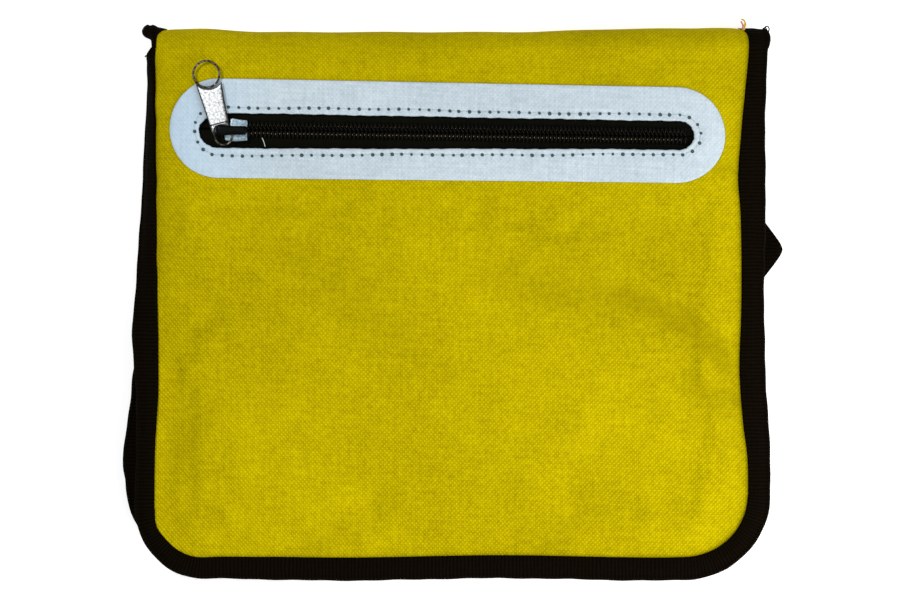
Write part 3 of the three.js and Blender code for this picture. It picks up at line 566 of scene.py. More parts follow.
window_cut_half_length, window_cut_half_width, fold_shade_share = 97, 9, 0.45
flap_x, flap_rows = panel_grid(
    flap_shape, corner_runs(corner_right, 16, flap_run, 1.7), clustered(150, 0.55),
)
flap_points = on_cloth(flap_x, flap_rows, 0.0)
flap_quads = grid_quads(*flap_x.shape)
middle = flap_points.reshape(-1, 3)[flap_quads].mean(axis=1)
from_zip = middle[:, :2] - (zip_x, zip_y)
along = from_zip[:, 0] * math.cos(zip_tilt) + from_zip[:, 1] * math.sin(zip_tilt)
across = from_zip[:, 1] * math.cos(zip_tilt) - from_zip[:, 0] * math.sin(zip_tilt)
in_window = (np.abs(along) < window_cut_half_length) & (np.abs(across) < window_cut_half_width)
in_window = in_window & (middle[:, 2] > top_level - 4)
# Painted shade: the colour darkens along the creases' valleys and towards the top fold, where the
# cloth turns away from the light.
painted_shade_mask = 1.9 * np.clip(-crease_height(flap_x, flap_rows + flap_foot), 0, 1)
painted_shade_mask = np.clip(painted_shade_mask + fold_shade_share * smooth_step(flap_rows, crest - 60, crest - 6), 0, 1)
flap_panel = thicken(make_piece(
    "flap_panel", flap_points, flap_quads[~in_window], pair(flap_x, flap_rows), painted_shade_mask,
), panel_wall)

# %% [markdown]
# ## Binding tape
# The tape is folded over each raw edge: a U in section, a little puffed, carried round the edge
# with its ribs across. A curve with a bevel profile would twist at the corners and couldn't climb
# over the fold, so the section is swept along the edge: each of its points is a place on the
# cloth's own pattern and a height over it. The same function binds the flap and both walls of the
# bag.

# %% Tape round an edge
tape_reach = leg_start + 0.4
flap_tape_puff, wall_tape_puff = 0.45, 0.2
bunch_out, bunch_up, bunch_spread, bunch_pinch = 1.3, 1.15, 0.30, 0.82
knuckle_left, knuckle_right = 0.95, 0.12


def tape_section(leg, puff):
    """The U as a closed loop of (inwards, lift) pairs: outer face, then inner face."""
    depth = bound_edge + clearance + inner_edge + clearance
    roof, floor = clearance + tape, -depth - tape
    s = np.linspace(0, 1, 12)
    bulge = puff * np.sin(math.pi * s) ** 0.8 - 0.5 * smooth_step(s, 0.5, 1.0)
    c, a = np.cos(np.linspace(0, math.pi, 11)[1:-1]), np.sin(np.linspace(0, math.pi, 11)[1:-1])
    outer_half, inner_half = (roof - floor) / 2, (depth + clearance) / 2
    return np.concatenate([
        pair(leg * (1 - s), roof + bulge),
        pair(-tape_reach * a, (roof + floor) / 2 + outer_half * c),
        pair(leg * s, floor - np.maximum(bulge, 0) * 0.4),
        pair(leg * s[::-1], -depth + 0 * s),
        pair(-clearance * a, clearance - inner_half + inner_half * c)[::-1],
        pair(leg * s, clearance + 0 * s),
    ])


def end_caps(count, stations, order=(0, 1, 2, 3)):
    """Faces that close both ends of a tube by joining the two halves of its ring. The order of
    their corners says which way they face."""
    fold, last = np.arange(count // 2 - 1), (stations - 1) * count
    first = np.stack([fold, count - 1 - fold, count - 2 - fold, fold + 1], axis=-1)[:, order]
    return first, last + first[:, ::-1]


def bunch(offset, lift, leg, run, grow):
    """Where grow is above 0 the fold swells outwards and up, and the leg is pinched flat."""
    middle = -(bound_edge + inner_edge + clearance) / 2
    offset = np.where(offset < 1.5, offset - grow * (1.5 - offset) * bunch_out, offset)
    raised = bunch_up * grow * np.clip(2.0 - offset, 0, 2) / 2
    lift = middle + (lift - middle) * (1 + bunch_spread * grow) + raised
    pinch = bunch_pinch * bell(run - crest, 8.0) * np.clip(offset / leg, 0, 1) ** 0.6
    return offset, np.where(lift > 0, lift * (1 - pinch), lift)


def bind_edge(name, shape, place, width, puff, steps=(1.1, 26, 200), flare=None):
    """Carry the tape's section along the outline's path. The pattern runs along and round it."""
    x, run, inward, length, side = shape.path(*steps)
    leg = (width(x, run, side) - leg_start)[:, None]
    section = tape_section(1.0, puff)
    growth = tape_section(2.0, puff)[:, 0] - section[:, 0]
    offset = section[:, 0] + (leg - 1) * growth
    lift = np.broadcast_to(section[:, 1], offset.shape)
    wave = 0.12 * np.sin(length / 5.3) + 0.10 * np.sin(length / 2.1 + 1)
    offset = offset - wave[:, None] * bell(offset, 3)
    if flare is not None:
        offset, lift = bunch(offset, lift, leg, run[:, None], flare(x, run)[:, None])
    points = place(
        x[:, None] + inward[0][:, None] * offset, run[:, None] + inward[1][:, None] * offset, lift,
    )
    count = len(section)
    around = np.linspace(0, 1, count + 1)[:-1] * 2 * (binding_width + 2)
    quads = [grid_quads(len(x), count, round_columns=True), *end_caps(count, len(x))]
    return make_piece(name, points, np.concatenate(quads), pair(length[:, None], around))


def flap_tape_width(x, run, side):
    """The tape's visible width: from the tables up the sides, and drawn here along the hem."""
    across = np.clip(x / flap_half_width, -1, 1)
    hem = binding_width * (0.93 - 0.1 * smooth_step(-across, 0.5, 0.9))
    by_corner = 0.2 * bell(x + 90, 9.0) - 0.8 * bell(run - 17, 5.5)
    hem = hem + by_corner * (x < -60) * (run < 40)
    on_side = run > np.where(side < 0, corner_left, corner_right) - leg_start - 0.01
    over_corner = np.where(side < 0, 2.0, 0.0) * bell(run - crest, 5.0)
    return np.where(on_side, flap_side(np.where(side < 0, -1.0, 1.0), run)[1] + over_corner, hem)


def knuckle(x, run):
    """The tape bunches where it turns over the fold, most of all at the left."""
    down = (crest - run) / flap_height
    left = knuckle_left * bell(down - 0.0015, 0.018) * (x < 0)
    return left + knuckle_right * bell(down - 0.015, 0.03) * (x > 0)


flap_tape = bind_edge(
    "flap_tape", flap_shape, on_cloth, flap_tape_width, flap_tape_puff, flare=knuckle,
)

# %% [markdown]
# ## The bag's walls
# Under the flap lie the front and the back wall, two padded panels of the same pattern, each
# bound with its half of the gussets. The left side bulges out from under the flap low down. Only
# their rims show, so they are made by the flap's functions without a simulation of their own.

# %% Walls and their tapes
# down from the bag's top edge, as a share of the flap's height; the left and the right seam, as
# shares of the body's half width
body_edges = np.array([
    (0.00, 0.959, 0.982), (0.44, 0.959, 0.982), (0.51, 0.985, 0.982), (0.57, 1.045, 0.982),
    (0.62, 1.076, 0.982), (0.68, 1.088, 0.982), (0.73, 1.100, 0.982), (0.77, 1.110, 0.985),
    (0.80, 1.113, 0.985), (0.84, 1.097, 0.985), (1.00, 1.080, 0.985),
])


def body_side(column, run):
    """How far out a side edge of the walls runs."""
    at = (top_edge - body_foot - np.maximum(run, body_corner)) / flap_height
    return read(body_edges, column, at) * body_half_width - leg_start


body_shape = Outline(
    lambda run: -body_side(1, run),
    lambda run: body_side(2, run),
    (body_corner - leg_start, body_corner - leg_start),
    body_top - body_foot,
)
front_seam = binding_height + seam_gap
lap_half_width, lap_rise, lap_length = 90.0, 4.0, 6.5


def wall_place(level, facing, sink):
    """Lays a wall flat at a level, sunk towards its bound edge."""
    def place(x, run, lift):
        """z = level, plus or minus the lift less what the wall has sunk."""
        x, run, lift = np.broadcast_arrays(x, run, lift)
        out = lift - sink * (1 - recovery(body_shape, x, run))
        return np.stack([x, body_foot + run, level + facing * out], axis=-1)
    return place


def on_lapped_back(x, run, lift):
    """The back wall, which climbs onto the flap's end between the tapes."""
    climb = smooth_step(run, body_shape.top - lap_rise, body_shape.top)
    climb = climb * (1 - smooth_step(np.abs(x), lap_half_width, lap_half_width + 8))
    point = on_back(x, run, lift)
    point[..., 2] += (flap_cloth + clearance) * climb
    return point


on_front = wall_place(front_level, 1, front_level - (front_seam + binding_height - leg_start))
on_back = wall_place(0.0, -1, leg_start)
body_runs = corner_runs(body_shape.radii[0], 14, body_shape.top, 2.6)
wall_shares = clustered(90, 0.5)
wall_x, wall_run = panel_grid(body_shape, body_runs, wall_shares)
front_wall = thicken(make_piece(
    "front_wall", on_front(wall_x, wall_run, 0.0), grid_quads(*wall_x.shape),
    pair(wall_x, wall_run),
), panel_wall)

back_runs = np.concatenate([body_runs, body_shape.top + np.array([0.4, 2.5, lap_length])])
low, high = body_shape.limits(np.minimum(back_runs, body_shape.top))
on_lap = back_runs > body_shape.top + 0.2
low, high = np.where(on_lap, -lap_half_width, low), np.where(on_lap, lap_half_width, high)
back_x = low[:, None] + (high - low)[:, None] * wall_shares
back_run = back_runs[:, None] + 0 * back_x
back_wall = thicken(make_piece(
    "back_wall", on_lapped_back(back_x, back_run, 0.0), grid_quads(*back_x.shape)[:, ::-1],
    pair(back_x, back_run),
), panel_wall)


def full_width(x, run, side):
    """The walls' tapes show their whole width everywhere."""
    return binding_width + 0 * x


wall_steps = (1.6, 20, 120)
front_tape = bind_edge(
    "front_tape", body_shape, on_front, full_width, wall_tape_puff, wall_steps,
)
back_tape = weld(bind_edge("back_tape", body_shape, on_back, full_width, 0.0, wall_steps))

# %% [markdown]
# ## Gussets
# Each gusset is a black strip between the two walls, folded inwards like a bellows: two legs
# sewn into the seams and a round fold at the inner end. A simulation could fold it, but a strip
# pressed flat between two walls has just one shape, and a swept section gives it at once.

# %% Gussets
gusset_depth, gusset_cloth = 28.0, 0.8
gusset_top = body_shape.top - lap_rise - 2 * clearance
gusset_low = wall_cloth + clearance + gusset_cloth / 2
gusset_high = front_seam + tape + clearance + gusset_cloth / 2
gusset_foot = leg_start + bound_edge + clearance + gusset_cloth / 2


def gusset(name, x, run, inward, depth):
    """The bellows' section, a long flat U of (inwards, height), at each station of the seam."""
    turn, centre = (gusset_high - gusset_low) / 2, (gusset_low + gusset_high) / 2
    s = np.linspace(0, 1, 9)
    a = np.linspace(-math.pi / 2, math.pi / 2, 13)[1:-1]
    leg = np.concatenate([s, 0 * a + 1, s[::-1]])
    bow = np.concatenate([0 * s, np.cos(a), 0 * s])
    height = np.concatenate([gusset_low + 0 * s, centre + turn * np.sin(a), gusset_high + 0 * s])
    reach = (depth - turn - gusset_cloth / 2)[:, None] * leg + turn * bow
    in_seam = (gusset_foot - gusset_low) * np.exp(-reach / 4) * (height < centre)
    points = np.stack([
        x[:, None] + inward[0][:, None] * reach,
        body_foot + run[:, None] + inward[1][:, None] * reach,
        height + in_seam,
    ], axis=-1)
    along, across = path_length(x, run), path_length(reach[0], height)
    piece = make_piece(name, points, grid_quads(*reach.shape), pair(along[:, None], across))
    thicken(piece, gusset_cloth, 0.0)
    widest = 2 * (reach.max() - turn) + math.pi * turn
    return piece, (widest * MM, along[-1] * MM), sheet_area(points)


def depth_along(count, shares, parts):
    """The fold's depth from station to station, as parts of its full depth."""
    return gusset_depth * np.interp(np.linspace(0, 1, count), shares, parts)


runs = np.linspace(gusset_top, body_shape.radii[0] + clearance, 60)
side_depth = depth_along(60, [0, 0.7, 1], [1, 1, 0.45])
to_right = np.stack([np.ones_like(runs), np.zeros_like(runs)])
left_gusset = gusset("left_gusset", body_shape.left(runs), runs, to_right, side_depth)
right_gusset = gusset("right_gusset", body_shape.right(runs), runs, -to_right, side_depth)
seam_x, seam_run, seam_inward, _, _ = body_shape.path(200, 14, 60)
low_down = seam_run <= body_shape.radii[0] + 0.01
seam_x, seam_run, seam_inward = seam_x[low_down], seam_run[low_down], seam_inward[:, low_down]
bottom_depth = depth_along(len(seam_x), [0, 0.3, 0.7, 1], [0.45, 0.85, 0.85, 0.45])
bottom_gusset = gusset("bottom_gusset", seam_x, seam_run, seam_inward, bottom_depth)

# %% [markdown]
# ## Pocket lining
# A thin black cloth closes the flap's pocket behind the zip. It is caught under the tape all
# round, and drops away from the flap in the middle to leave room for what the pocket holds. It
# is the flap's own surface at a depth below it, so the two can't cut through each other.

# %% Pocket lining
pocket_inset = 0.1  # down from the top edge, as a share of the flap's height
pocket_top = (1 - pocket_inset) * flap_height
lining_wall, lining_gap = 0.6, 0.2
pocket_x, pocket_run = panel_grid(
    flap_shape, corner_runs(corner_right, 12, pocket_top, 3.4), clustered(80, 0.5),
)
from_top = smooth_step(pocket_top - pocket_run, 1, 12)
full = recovery(flap_shape, pocket_x, pocket_run)
depth = (bound_edge + clearance) * (1 - full)
depth = depth + (flap_cloth + clearance + (pocket_depth - clearance) * from_top) * full
lining_points = on_flap(pocket_x, pocket_run, -depth - lining_gap)
pocket_lining = thicken(make_piece(
    "pocket_lining", lining_points, grid_quads(*pocket_x.shape), pair(pocket_x, pocket_run),
), lining_wall)

# %% [markdown]
# ## Side tab
# On the right a short tape, folded to a rounded point, is caught in the bag's side seam. A tube
# pressed flat gives its two layers and their rounded rim at once.

# %% Side tab
tab_middle, tab_half_base, tab_reach = top_edge - 84.25, 18.0, 15.5


def folded_tab():
    """The tab's width as a function of its height along the seam: a ramp to a rounded tip. The
    two layers meet at the rim, and swell between it and the seam."""
    root = float(body_shape.right(np.array([tab_middle - body_foot]))[0])
    s = np.linspace(-1, 1, 61)
    across = np.linspace(0, 1, 15)
    width = 0.9 * tab_reach * (1.21 - np.abs(s)) - 1.3 * np.exp(-np.abs(s) / 0.1)
    x = root + 0.6 + width[:, None] * across
    y = tab_middle + (tab_half_base * s)[:, None] + 0 * x
    swell = 0.15 + 0.75 * np.sin(math.pi * across) ** 0.7
    level = binding_height + seam_gap / 2 + 0.18 * np.sin(y / 2.3) * across
    top = np.stack([x, y, level + swell], axis=-1)
    under = np.stack([x, y, level - swell], axis=-1)
    ring = np.concatenate([top, under[:, ::-1]], axis=1)
    stations, count = ring.shape[:2]
    quads = grid_quads(stations, count, round_columns=True)
    quads = np.concatenate([quads, *end_caps(count, stations, (0, 3, 2, 1))])
    return make_piece("folded_tab", ring, quads, pair(y[:, :1], np.arange(count)))


tab = folded_tab()

# %% [markdown]
# ## The zip's surround
# A pale reflective cloth is bonded to the flap round the zip and stitched close to the window.
# Its outline has round ends. Its inner edge is cut a little unevenly and turns down into the
# window, which also hides the flap's cut edge. Shrinkwrap could lay a flat cut-out on the flap.
# Rings of points that are placed by the flap's own function fit it closer, and can turn over the
# two edges.

# %% Surround
surround_half, surround_radius = 105.5, 18.7
window_half, window_radius = 93.7, 6.1
stitch_pitch, stitch_out = 3.77, 2.3
surround_height, surround_wall, sewn_down = 0.72, 0.3, 0.22


def round_ended(half_length, radius, arc_steps, straight_steps):
    """Points round a long shape with half-circle ends, anticlockwise, in the zip's frame."""
    a = np.linspace(-math.pi / 2, math.pi / 2, arc_steps + 1)
    straight = half_length - radius
    right = np.stack([straight + radius * np.cos(a), radius * np.sin(a)], axis=-1)
    t = np.linspace(0, 1, straight_steps + 1)[1:-1, None]
    top = right[-1] * (1 - t) + np.array([-straight, radius]) * t
    return np.concatenate([right, top, -right, -top])


def uneven(line, half_length, above, below):
    """Hand cutting isn't even: the heights above and below the middle are scaled by two factors
    each, one at the left end and one at the right, with a smooth change between them."""
    share = smooth_step(line[:, 0], -half_length, half_length)
    top = above[0] + (above[1] - above[0]) * share
    bottom = below[0] + (below[1] - below[0]) * share
    return np.stack([line[:, 0], line[:, 1] * np.where(line[:, 1] > 0, top, bottom)], axis=-1)


def window_line(out, arc_steps, straight_steps):
    """The window's edge, moved out by a distance."""
    line = round_ended(window_half + out, window_radius + out, arc_steps, straight_steps)
    return uneven(line, window_half, (0.99, 0.93), (1.19, 0.87))


def surround():
    """Rings from the window's lower lip, over its edge and out to the rim, which turns down."""
    outer = round_ended(surround_half, surround_radius, 60, 190)
    outer = uneven(outer, surround_half, (1.02, 0.99), (1.0, 0.955))
    inner = window_line(0.0, 60, 190)
    left_end = smooth_step(-inner[:, 0], window_half - 4.5, window_half - 1.0)
    inner[:, 1] *= np.where(inner[:, 1] > 0, 1 - 0.38 * left_end, 1)
    inner[:, 0] -= 0.7 * left_end
    turn = circle(len(outer))
    ragged = 0.10 * np.sin(turn * 61) + 0.07 * np.sin(turn * 97 + 1) + 0.05 * np.sin(turn * 173)
    ragged = ragged[:, None]
    wander = (0.14 * np.sin(turn * 9 + 2) + 0.10 * np.sin(turn * 23))[:, None]
    spread = np.linalg.norm(outer - inner, axis=1, keepdims=True)
    out = (outer - inner) / spread
    lip = [(0.1, -1.5), (0.0, -0.9), (0.0, 0.1), (0.06, 0.45), (0.3, 0.66), (0.7, surround_height)]
    rings = [
        (inner + out * (push + (0.7 - push) * ragged + wander * 0.4), lift) for push, lift in lip
    ]
    for share in np.linspace(0.08, 0.985, 15):
        dent = sewn_down * bell(spread[:, 0] * share - stitch_out, 0.7)
        rings.append((inner + out * (spread * share), surround_height - dent))
    for back, lift in [(0.06, 0.66), (0.0, 0.5), (0.0, 0.12)]:
        rings.append((outer - out * back + out * (0.05 * ragged), lift))
    flat = np.stack([ring for ring, _ in rings])
    lift = np.stack([np.broadcast_to(height, len(outer)) for _, height in rings])
    points = on_cloth_by_zip(flat[..., 0], flat[..., 1], lift)
    quads = grid_quads(len(rings), len(outer), round_columns=True)[:, ::-1]
    piece = thicken(make_piece("zip_surround_cloth", points, quads, flat), surround_wall)
    return piece, sheet_area(np.concatenate([points, points[:, :1]], axis=1))


surround_cloth, surround_area = surround()

# %% [markdown]
# One row of lockstitch runs round the window: short threads of the surround's own colour, each
# dipping into a needle hole. Instances along a curve would be lighter to edit, but every stitch
# has to follow the cloth, so all the threads are worked out together as one mesh. The holes are
# small dark lenses of painted shade that sit in the row.

# %% Stitches and needle holes
stitch_drift, stitch_gap = 0.16, 0.13  # in millimetres; as a share of a stitch
hole_radius, hole_lift = (0.54, 0.76), 0.77


def stitch_places():
    """Even places along a round-ended line outside the window, with a little human error."""
    line = window_line(stitch_out, 200, 2000)
    closed = np.concatenate([line, line[:1]])
    length = path_length(*closed.T)
    count = int(length[-1] / stitch_pitch)
    shift = np.random.default_rng(4).normal(0, stitch_drift, count)
    at = (np.arange(count) + 0.5) * length[-1] / count + shift
    drift = 0.22 * np.sin(at / 17) + 0.15 * np.sin(at / 6.1)
    spot = np.stack([np.interp(at, length, closed[:, k]) for k in (0, 1)], axis=-1)
    ahead = np.stack([np.interp(at + 0.5, length, closed[:, k]) for k in (0, 1)], axis=-1)
    along = unit(ahead - spot)
    return spot + np.stack([along[:, 1], -along[:, 0]], axis=-1) * drift[:, None]


def stitch_threads(starts, stops, radius, rise, sink):
    """Each stitch is a short round thread, thinner at its ends. Its height is
    -sink + (rise + sink) sin(pi s)^0.5, s being the way along it."""
    s, a = np.linspace(0, 1, 9), circle(6)
    line = starts[:, None, :] * (1 - s)[None, :, None] + stops[:, None, :] * s[None, :, None]
    height = -sink + (rise + sink) * np.sin(math.pi * s) ** 0.5
    along = unit(stops - starts)[:, None, None, :]
    radius = radius * np.sin(math.pi * s)[None, :, None] ** 0.3
    u = line[..., None, 0] + along[..., 1] * radius * np.cos(a)
    v = line[..., None, 1] - along[..., 0] * radius * np.cos(a)
    lift = height[None, :, None] + radius * np.sin(a) + 0 * u
    pattern = pair(s[None, :, None] * stitch_pitch, a * radius + 0 * u)
    quads = many(len(s), len(a), len(starts))
    return weld(make_piece("window_stitches", on_cloth_by_zip(u, v, lift), quads, pattern))


def needle_holes(spots):
    """Small closed lenses with a flat foot under the cloth, a rim at the cloth's height and a
    shallow dip in the middle."""
    radius = np.random.default_rng(7).uniform(*hole_radius, len(spots))[:, None, None]
    rings, a = np.array([0.0, 0.6, 1.0, 0.7, 0.35, 0.0])[:, None], circle(8)
    dip = np.array([0.16, 0.16, 0.0, 0.02, 0.03, 0.035])[:, None]
    u = spots[:, 0, None, None] + radius * rings * np.cos(a)
    v = spots[:, 1, None, None] + radius * rings * np.sin(a)
    points = on_cloth_by_zip(u, v, hole_lift - dip + 0 * u)
    return weld(make_piece("needle_holes", points, many(len(rings), 8, len(spots)), pair(u, v)))


spots = stitch_places()
next_spots = np.roll(spots, -1, axis=0)
gap = (next_spots - spots) * stitch_gap
stitches = stitch_threads(spots + gap, next_spots - gap, radius=0.19, rise=0.66, sink=-0.42)
holes = needle_holes(spots)

# %% [markdown]
# ## The zip
# Two woven tapes lie under the window. A plain strip each would run through the slider's neck.
# So the inner edges part round it by a flat-topped bell, and the outer edges are hidden under the
# surround.

# %% Zip tapes
zip_tape_top = -flap_cloth - clearance
coil_foot = zip_tape_top + clearance
slider_nose = -window_half + 3.9
slider_length, slider_width = 13.4, 8.4
weave_reach, weave_wall, neck_gap, weave_bow = 12.4, 0.55, 1.1, 0.10


def in_zip(points):
    """The zip's own rigid frame, without the cloth's relief: (u, v, height over the flap)."""
    x, y = zip_turned(points[..., 0], points[..., 1])
    return np.stack([x, y, top_level + points[..., 2]], axis=-1)


def zip_weave(name, side):
    """A strip from the inner edge, which bows out by a flat-topped bell round the neck."""
    u = np.linspace(-window_half - 3, window_half + 3, 240)
    across = np.linspace(0, 1, 24)
    opening = 0.2 * (1 - smooth_step(u, slider_nose + 3, slider_nose + slider_length))
    near = 0.15 + opening + neck_gap * np.exp(-(((u - slider_nose - 2.3) / 1.9) ** 4))
    v = side * (near[:, None] + (weave_reach - near[:, None]) * across)
    z = zip_tape_top - weave_bow * np.sin(u / 9.0)[:, None] * across
    quads = grid_quads(len(u), len(across))[:, ::-side]
    points = in_zip(np.stack([u[:, None] + 0 * v, v, z], axis=-1))
    return thicken(make_piece(name, points, quads, pair(u[:, None], v)), weave_wall)


weave_upper = zip_weave("zip_weave_upper", 1)
weave_lower = zip_weave("zip_weave_lower", -1)

# %% [markdown]
# On each tape a nylon coil is sewn: a flat helix of monofilament, 1.54 mm to a turn. The heads of
# the two coils mesh half a pitch apart. A curve with a round bevel could draw it. A formula gives
# the lean and the squared turns of the real one, and lets the coils part near the slider.

# %% Coils
coil_pitch, coil_half_width, coil_half_height = 1.535, 1.45, 0.80
filament_radius, coil_lean, coils_apart = 0.30, 0.34, 0.75


def tube(line, first, second, radius, count):
    """Rings of radius (cos a first + sin a second) round each point of a line."""
    c, s = np.cos(circle(count))[:, None], np.sin(circle(count))[:, None]
    radius = np.broadcast_to(radius, len(line))[:, None, None]
    return line[:, None] + radius * (first[:, None] * c + second[:, None] * s)


def coil(name, side):
    """A flattened helix: (pitch * t, half width * cos 2 pi t, half height * sin 2 pi t), with a
    round thread swept along it. The turns lean, and near the slider they part."""
    start, stop = slider_nose + 5.6, window_half - 1.7
    turns = int((stop - start) / coil_pitch)
    t = np.linspace(0, turns, turns * 16 + 1)
    phase = 2 * math.pi * t + (math.pi if side < 0 else 0)
    u = start + t * coil_pitch
    part = coils_apart * (1 - smooth_step(u, start, slider_nose + slider_length + 1))
    squared = np.sign(np.cos(phase)) * np.abs(np.cos(phase)) ** 0.7
    v = side * (coil_half_width + 0.06 + part) + coil_half_width * squared
    z = coil_foot + coil_half_height + coil_half_height * np.sin(phase) * 0.92
    u = u - coil_lean * coil_pitch * np.cos(phase) * side
    line = np.stack([u, v, z], axis=-1)
    tangent = unit(np.gradient(line, axis=0))
    first = unit(np.cross(tangent, (1.0, 0.0, 0.0)))
    radius = np.full(len(t), filament_radius)
    radius[[0, -1]] = 0
    points = in_zip(tube(line, first, np.cross(tangent, first), radius, 8))
    return weld(make_piece(name, points, grid_quads(len(t), 8, round_columns=True)))


coil_upper = coil("coil_upper", 1)
coil_lower = coil("coil_lower", -1)

# %% [markdown]
# Each coil is held to its tape by a row of sewing thread that shows between the turns as a
# line of tiny warm dots. At this size a whole thread would be lost between the turns, so there is
# one small squashed bead to a turn, all in one mesh.

# %% Coil stitches
bead_half, bead_lift, bead_scatter = np.array([0.16, 0.24, 0.14]), 1.5, (0.05, 0.06, 0.12)


def coil_beads():
    """Beads (cos a cos b, cos a sin b, sin a) scaled to a thread's size, in two rows. A row is
    its shift along the zip, its place across it and the size of its beads."""
    start, stop = slider_nose + slider_length + 0.8, window_half - 2.2
    u = start + np.arange(int((stop - start) / coil_pitch)) * coil_pitch
    rows = [(0.38, 1.50, 0.44), (-0.38, -1.50, 0.95)]
    spots = np.concatenate([
        np.stack([u + shift, 0 * u + v, 0 * u + size], axis=-1) for shift, v, size in rows
    ])
    spots = spots + np.random.default_rng(11).normal(0, 1, (len(spots), 3)) * bead_scatter
    a, b = np.linspace(-math.pi / 2, math.pi / 2, 5)[:, None], circle(6)
    ball = np.stack([np.cos(a) * np.cos(b), np.cos(a) * np.sin(b), np.sin(a) + 0 * b], axis=-1)
    size = bead_half * spots[:, 2, None]
    place = np.stack([spots[:, 0], spots[:, 1], 0 * spots[:, 0] + coil_foot + bead_lift], axis=-1)
    points = place[:, None, None, :] + ball[None] * size[:, None, None, :]
    return weld(make_piece("coil_stitches", in_zip(points), many(5, 6, len(spots))))


beads = coil_beads()

# %% [markdown]
# ## The slider
# A cast slider: two plates joined by a neck, with low rails that hold the coils in. Each could be
# an extruded outline with a Bevel modifier. Lofting the outline through a few rings rounds the
# edges just as well, and always ends in one closed form.

# %% Slider body
slider_drop = -0.42  # its plates sit a little below the zip's middle
plate_foot = coil_foot + 1.9 + clearance
plate_top = plate_foot + 0.8
low_top = zip_tape_top - 0.6 - clearance
nose, half = slider_nose, slider_width / 2
rail_start, rail_end = 7.4, 13.0  # back from the nose


def rounded_plate(outline, z0, z1, edge):
    """A plate from a closed outline: rings step in by the edge's radius at the top and bottom,
    and two more rings shrink each face to its middle."""
    centre = outline.mean(axis=0)
    step = unit(outline - centre) * edge
    a = np.linspace(0, math.pi / 2, 5)
    foot = [(outline - step * (1 - math.sin(k)), z0 + edge * (1 - math.cos(k))) for k in a]
    roof = [(outline - step * (1 - math.cos(k)), z1 - edge * (1 - math.sin(k))) for k in a]

    def shrunk(face, z):
        """The face's middle and a ring half way to it."""
        return [(centre + (face - centre) * share, z) for share in (0.0, 0.5)]

    rings = shrunk(foot[0][0], z0) + foot + roof + shrunk(roof[-1][0], z1)[::-1]
    points = np.stack([np.column_stack([ring, 0 * ring[:, 0] + z]) for ring, z in rings])
    return points, grid_quads(len(points), len(outline), round_columns=True)


def gather(parts):
    """Several closed forms as one mesh: their points, and their faces counted on."""
    base = np.cumsum([0] + [points[..., 0].size for points, _ in parts])
    points = np.concatenate([points.reshape(-1, 3) for points, _ in parts])
    return points, np.concatenate([quads + first for (_, quads), first in zip(parts, base)])


def smooth_outline(corners, radius, steps=6):
    """A polygon with its corners rounded by arcs made from quadratic curves."""
    corners = np.asarray(corners, float)
    back = unit(np.roll(corners, 1, axis=0) - corners)
    ahead = unit(np.roll(corners, -1, axis=0) - corners)
    t = np.linspace(0, 1, steps)[None, :, None]
    p, q = (corners + back * radius)[:, None], (corners + ahead * radius)[:, None]
    middle = corners[:, None]
    return ((1 - t) ** 2 * p + 2 * t * (1 - t) * middle + t**2 * q).reshape(-1, 2)


def from_nose(corners, across, radius):
    """An outline from corners (back from the nose, share of a half width)."""
    return smooth_outline([(nose + back, share * across) for back, share in corners], radius)


def rail(side):
    """One low rail between the plates, outside the coil."""
    wide = half * 0.88
    corners = [
        (rail_start, half - 0.85), (rail_end, wide - 0.75),
        (rail_end, wide - 0.1), (rail_start, half - 0.15),
    ]
    outline = from_nose(corners[::side], side, 0.2)
    return rounded_plate(outline, coil_foot + 0.75, plate_foot + 0.3, 0.12)


upper_outline = from_nose([
    (2.0, -0.24), (5.0, -0.34), (5.6, -1.0), (9.6, -1.04), (14.0, -0.94), (13.7, 0), (14.0, 0.88),
    (10.4, 0.96), (7.9, 1.08), (7.0, 0.34), (2.0, 0.24),
], half, 0.6)
lower_outline = from_nose([
    (0.3, -0.62), (2.4, -1), (7.6, -1), (13.3, -0.84), (13.3, 0.84), (7.6, 1), (2.4, 1),
    (0.3, 0.62),
], half, 0.8)
neck_outline = from_nose([(1.0, -1), (3.6, -1), (3.6, 1), (1.0, 1)], 0.75, 0.35)
points, quads = gather([
    rounded_plate(upper_outline, plate_foot, plate_top, 0.28),
    rounded_plate(lower_outline, low_top - 0.8, low_top, 0.28),
    rounded_plate(neck_outline, low_top - 0.2, plate_foot + 0.2, 0.1),
    rail(1), rail(-1),
])
points[:, 1] += slider_drop
slider_plates = weld(make_piece("slider_plates", in_zip(points), quads))

# %% [markdown]
# A black bridge stands on the plate: two thin posts with a wide bar between them, under which the
# pull's eye is caught. The first post is the axis that the pull turns about. One section carried
# over all three, widening on the way, leaves no seam where a post meets the bar.

# %% Bridge
puller_foot = plate_top + clearance
puller_thickness = 1.2
crown_foot = puller_foot + puller_thickness + clearance
crown_bar, crown_length = 1.2, 12.8
post_middle = nose + 2.4
post_half, bar_half = (0.50, 0.46), (1.66, 0.60)  # half width and half height of each
bar_head, bar_drop, shoulder = 0.45, slider_drop - 0.25, 1.1


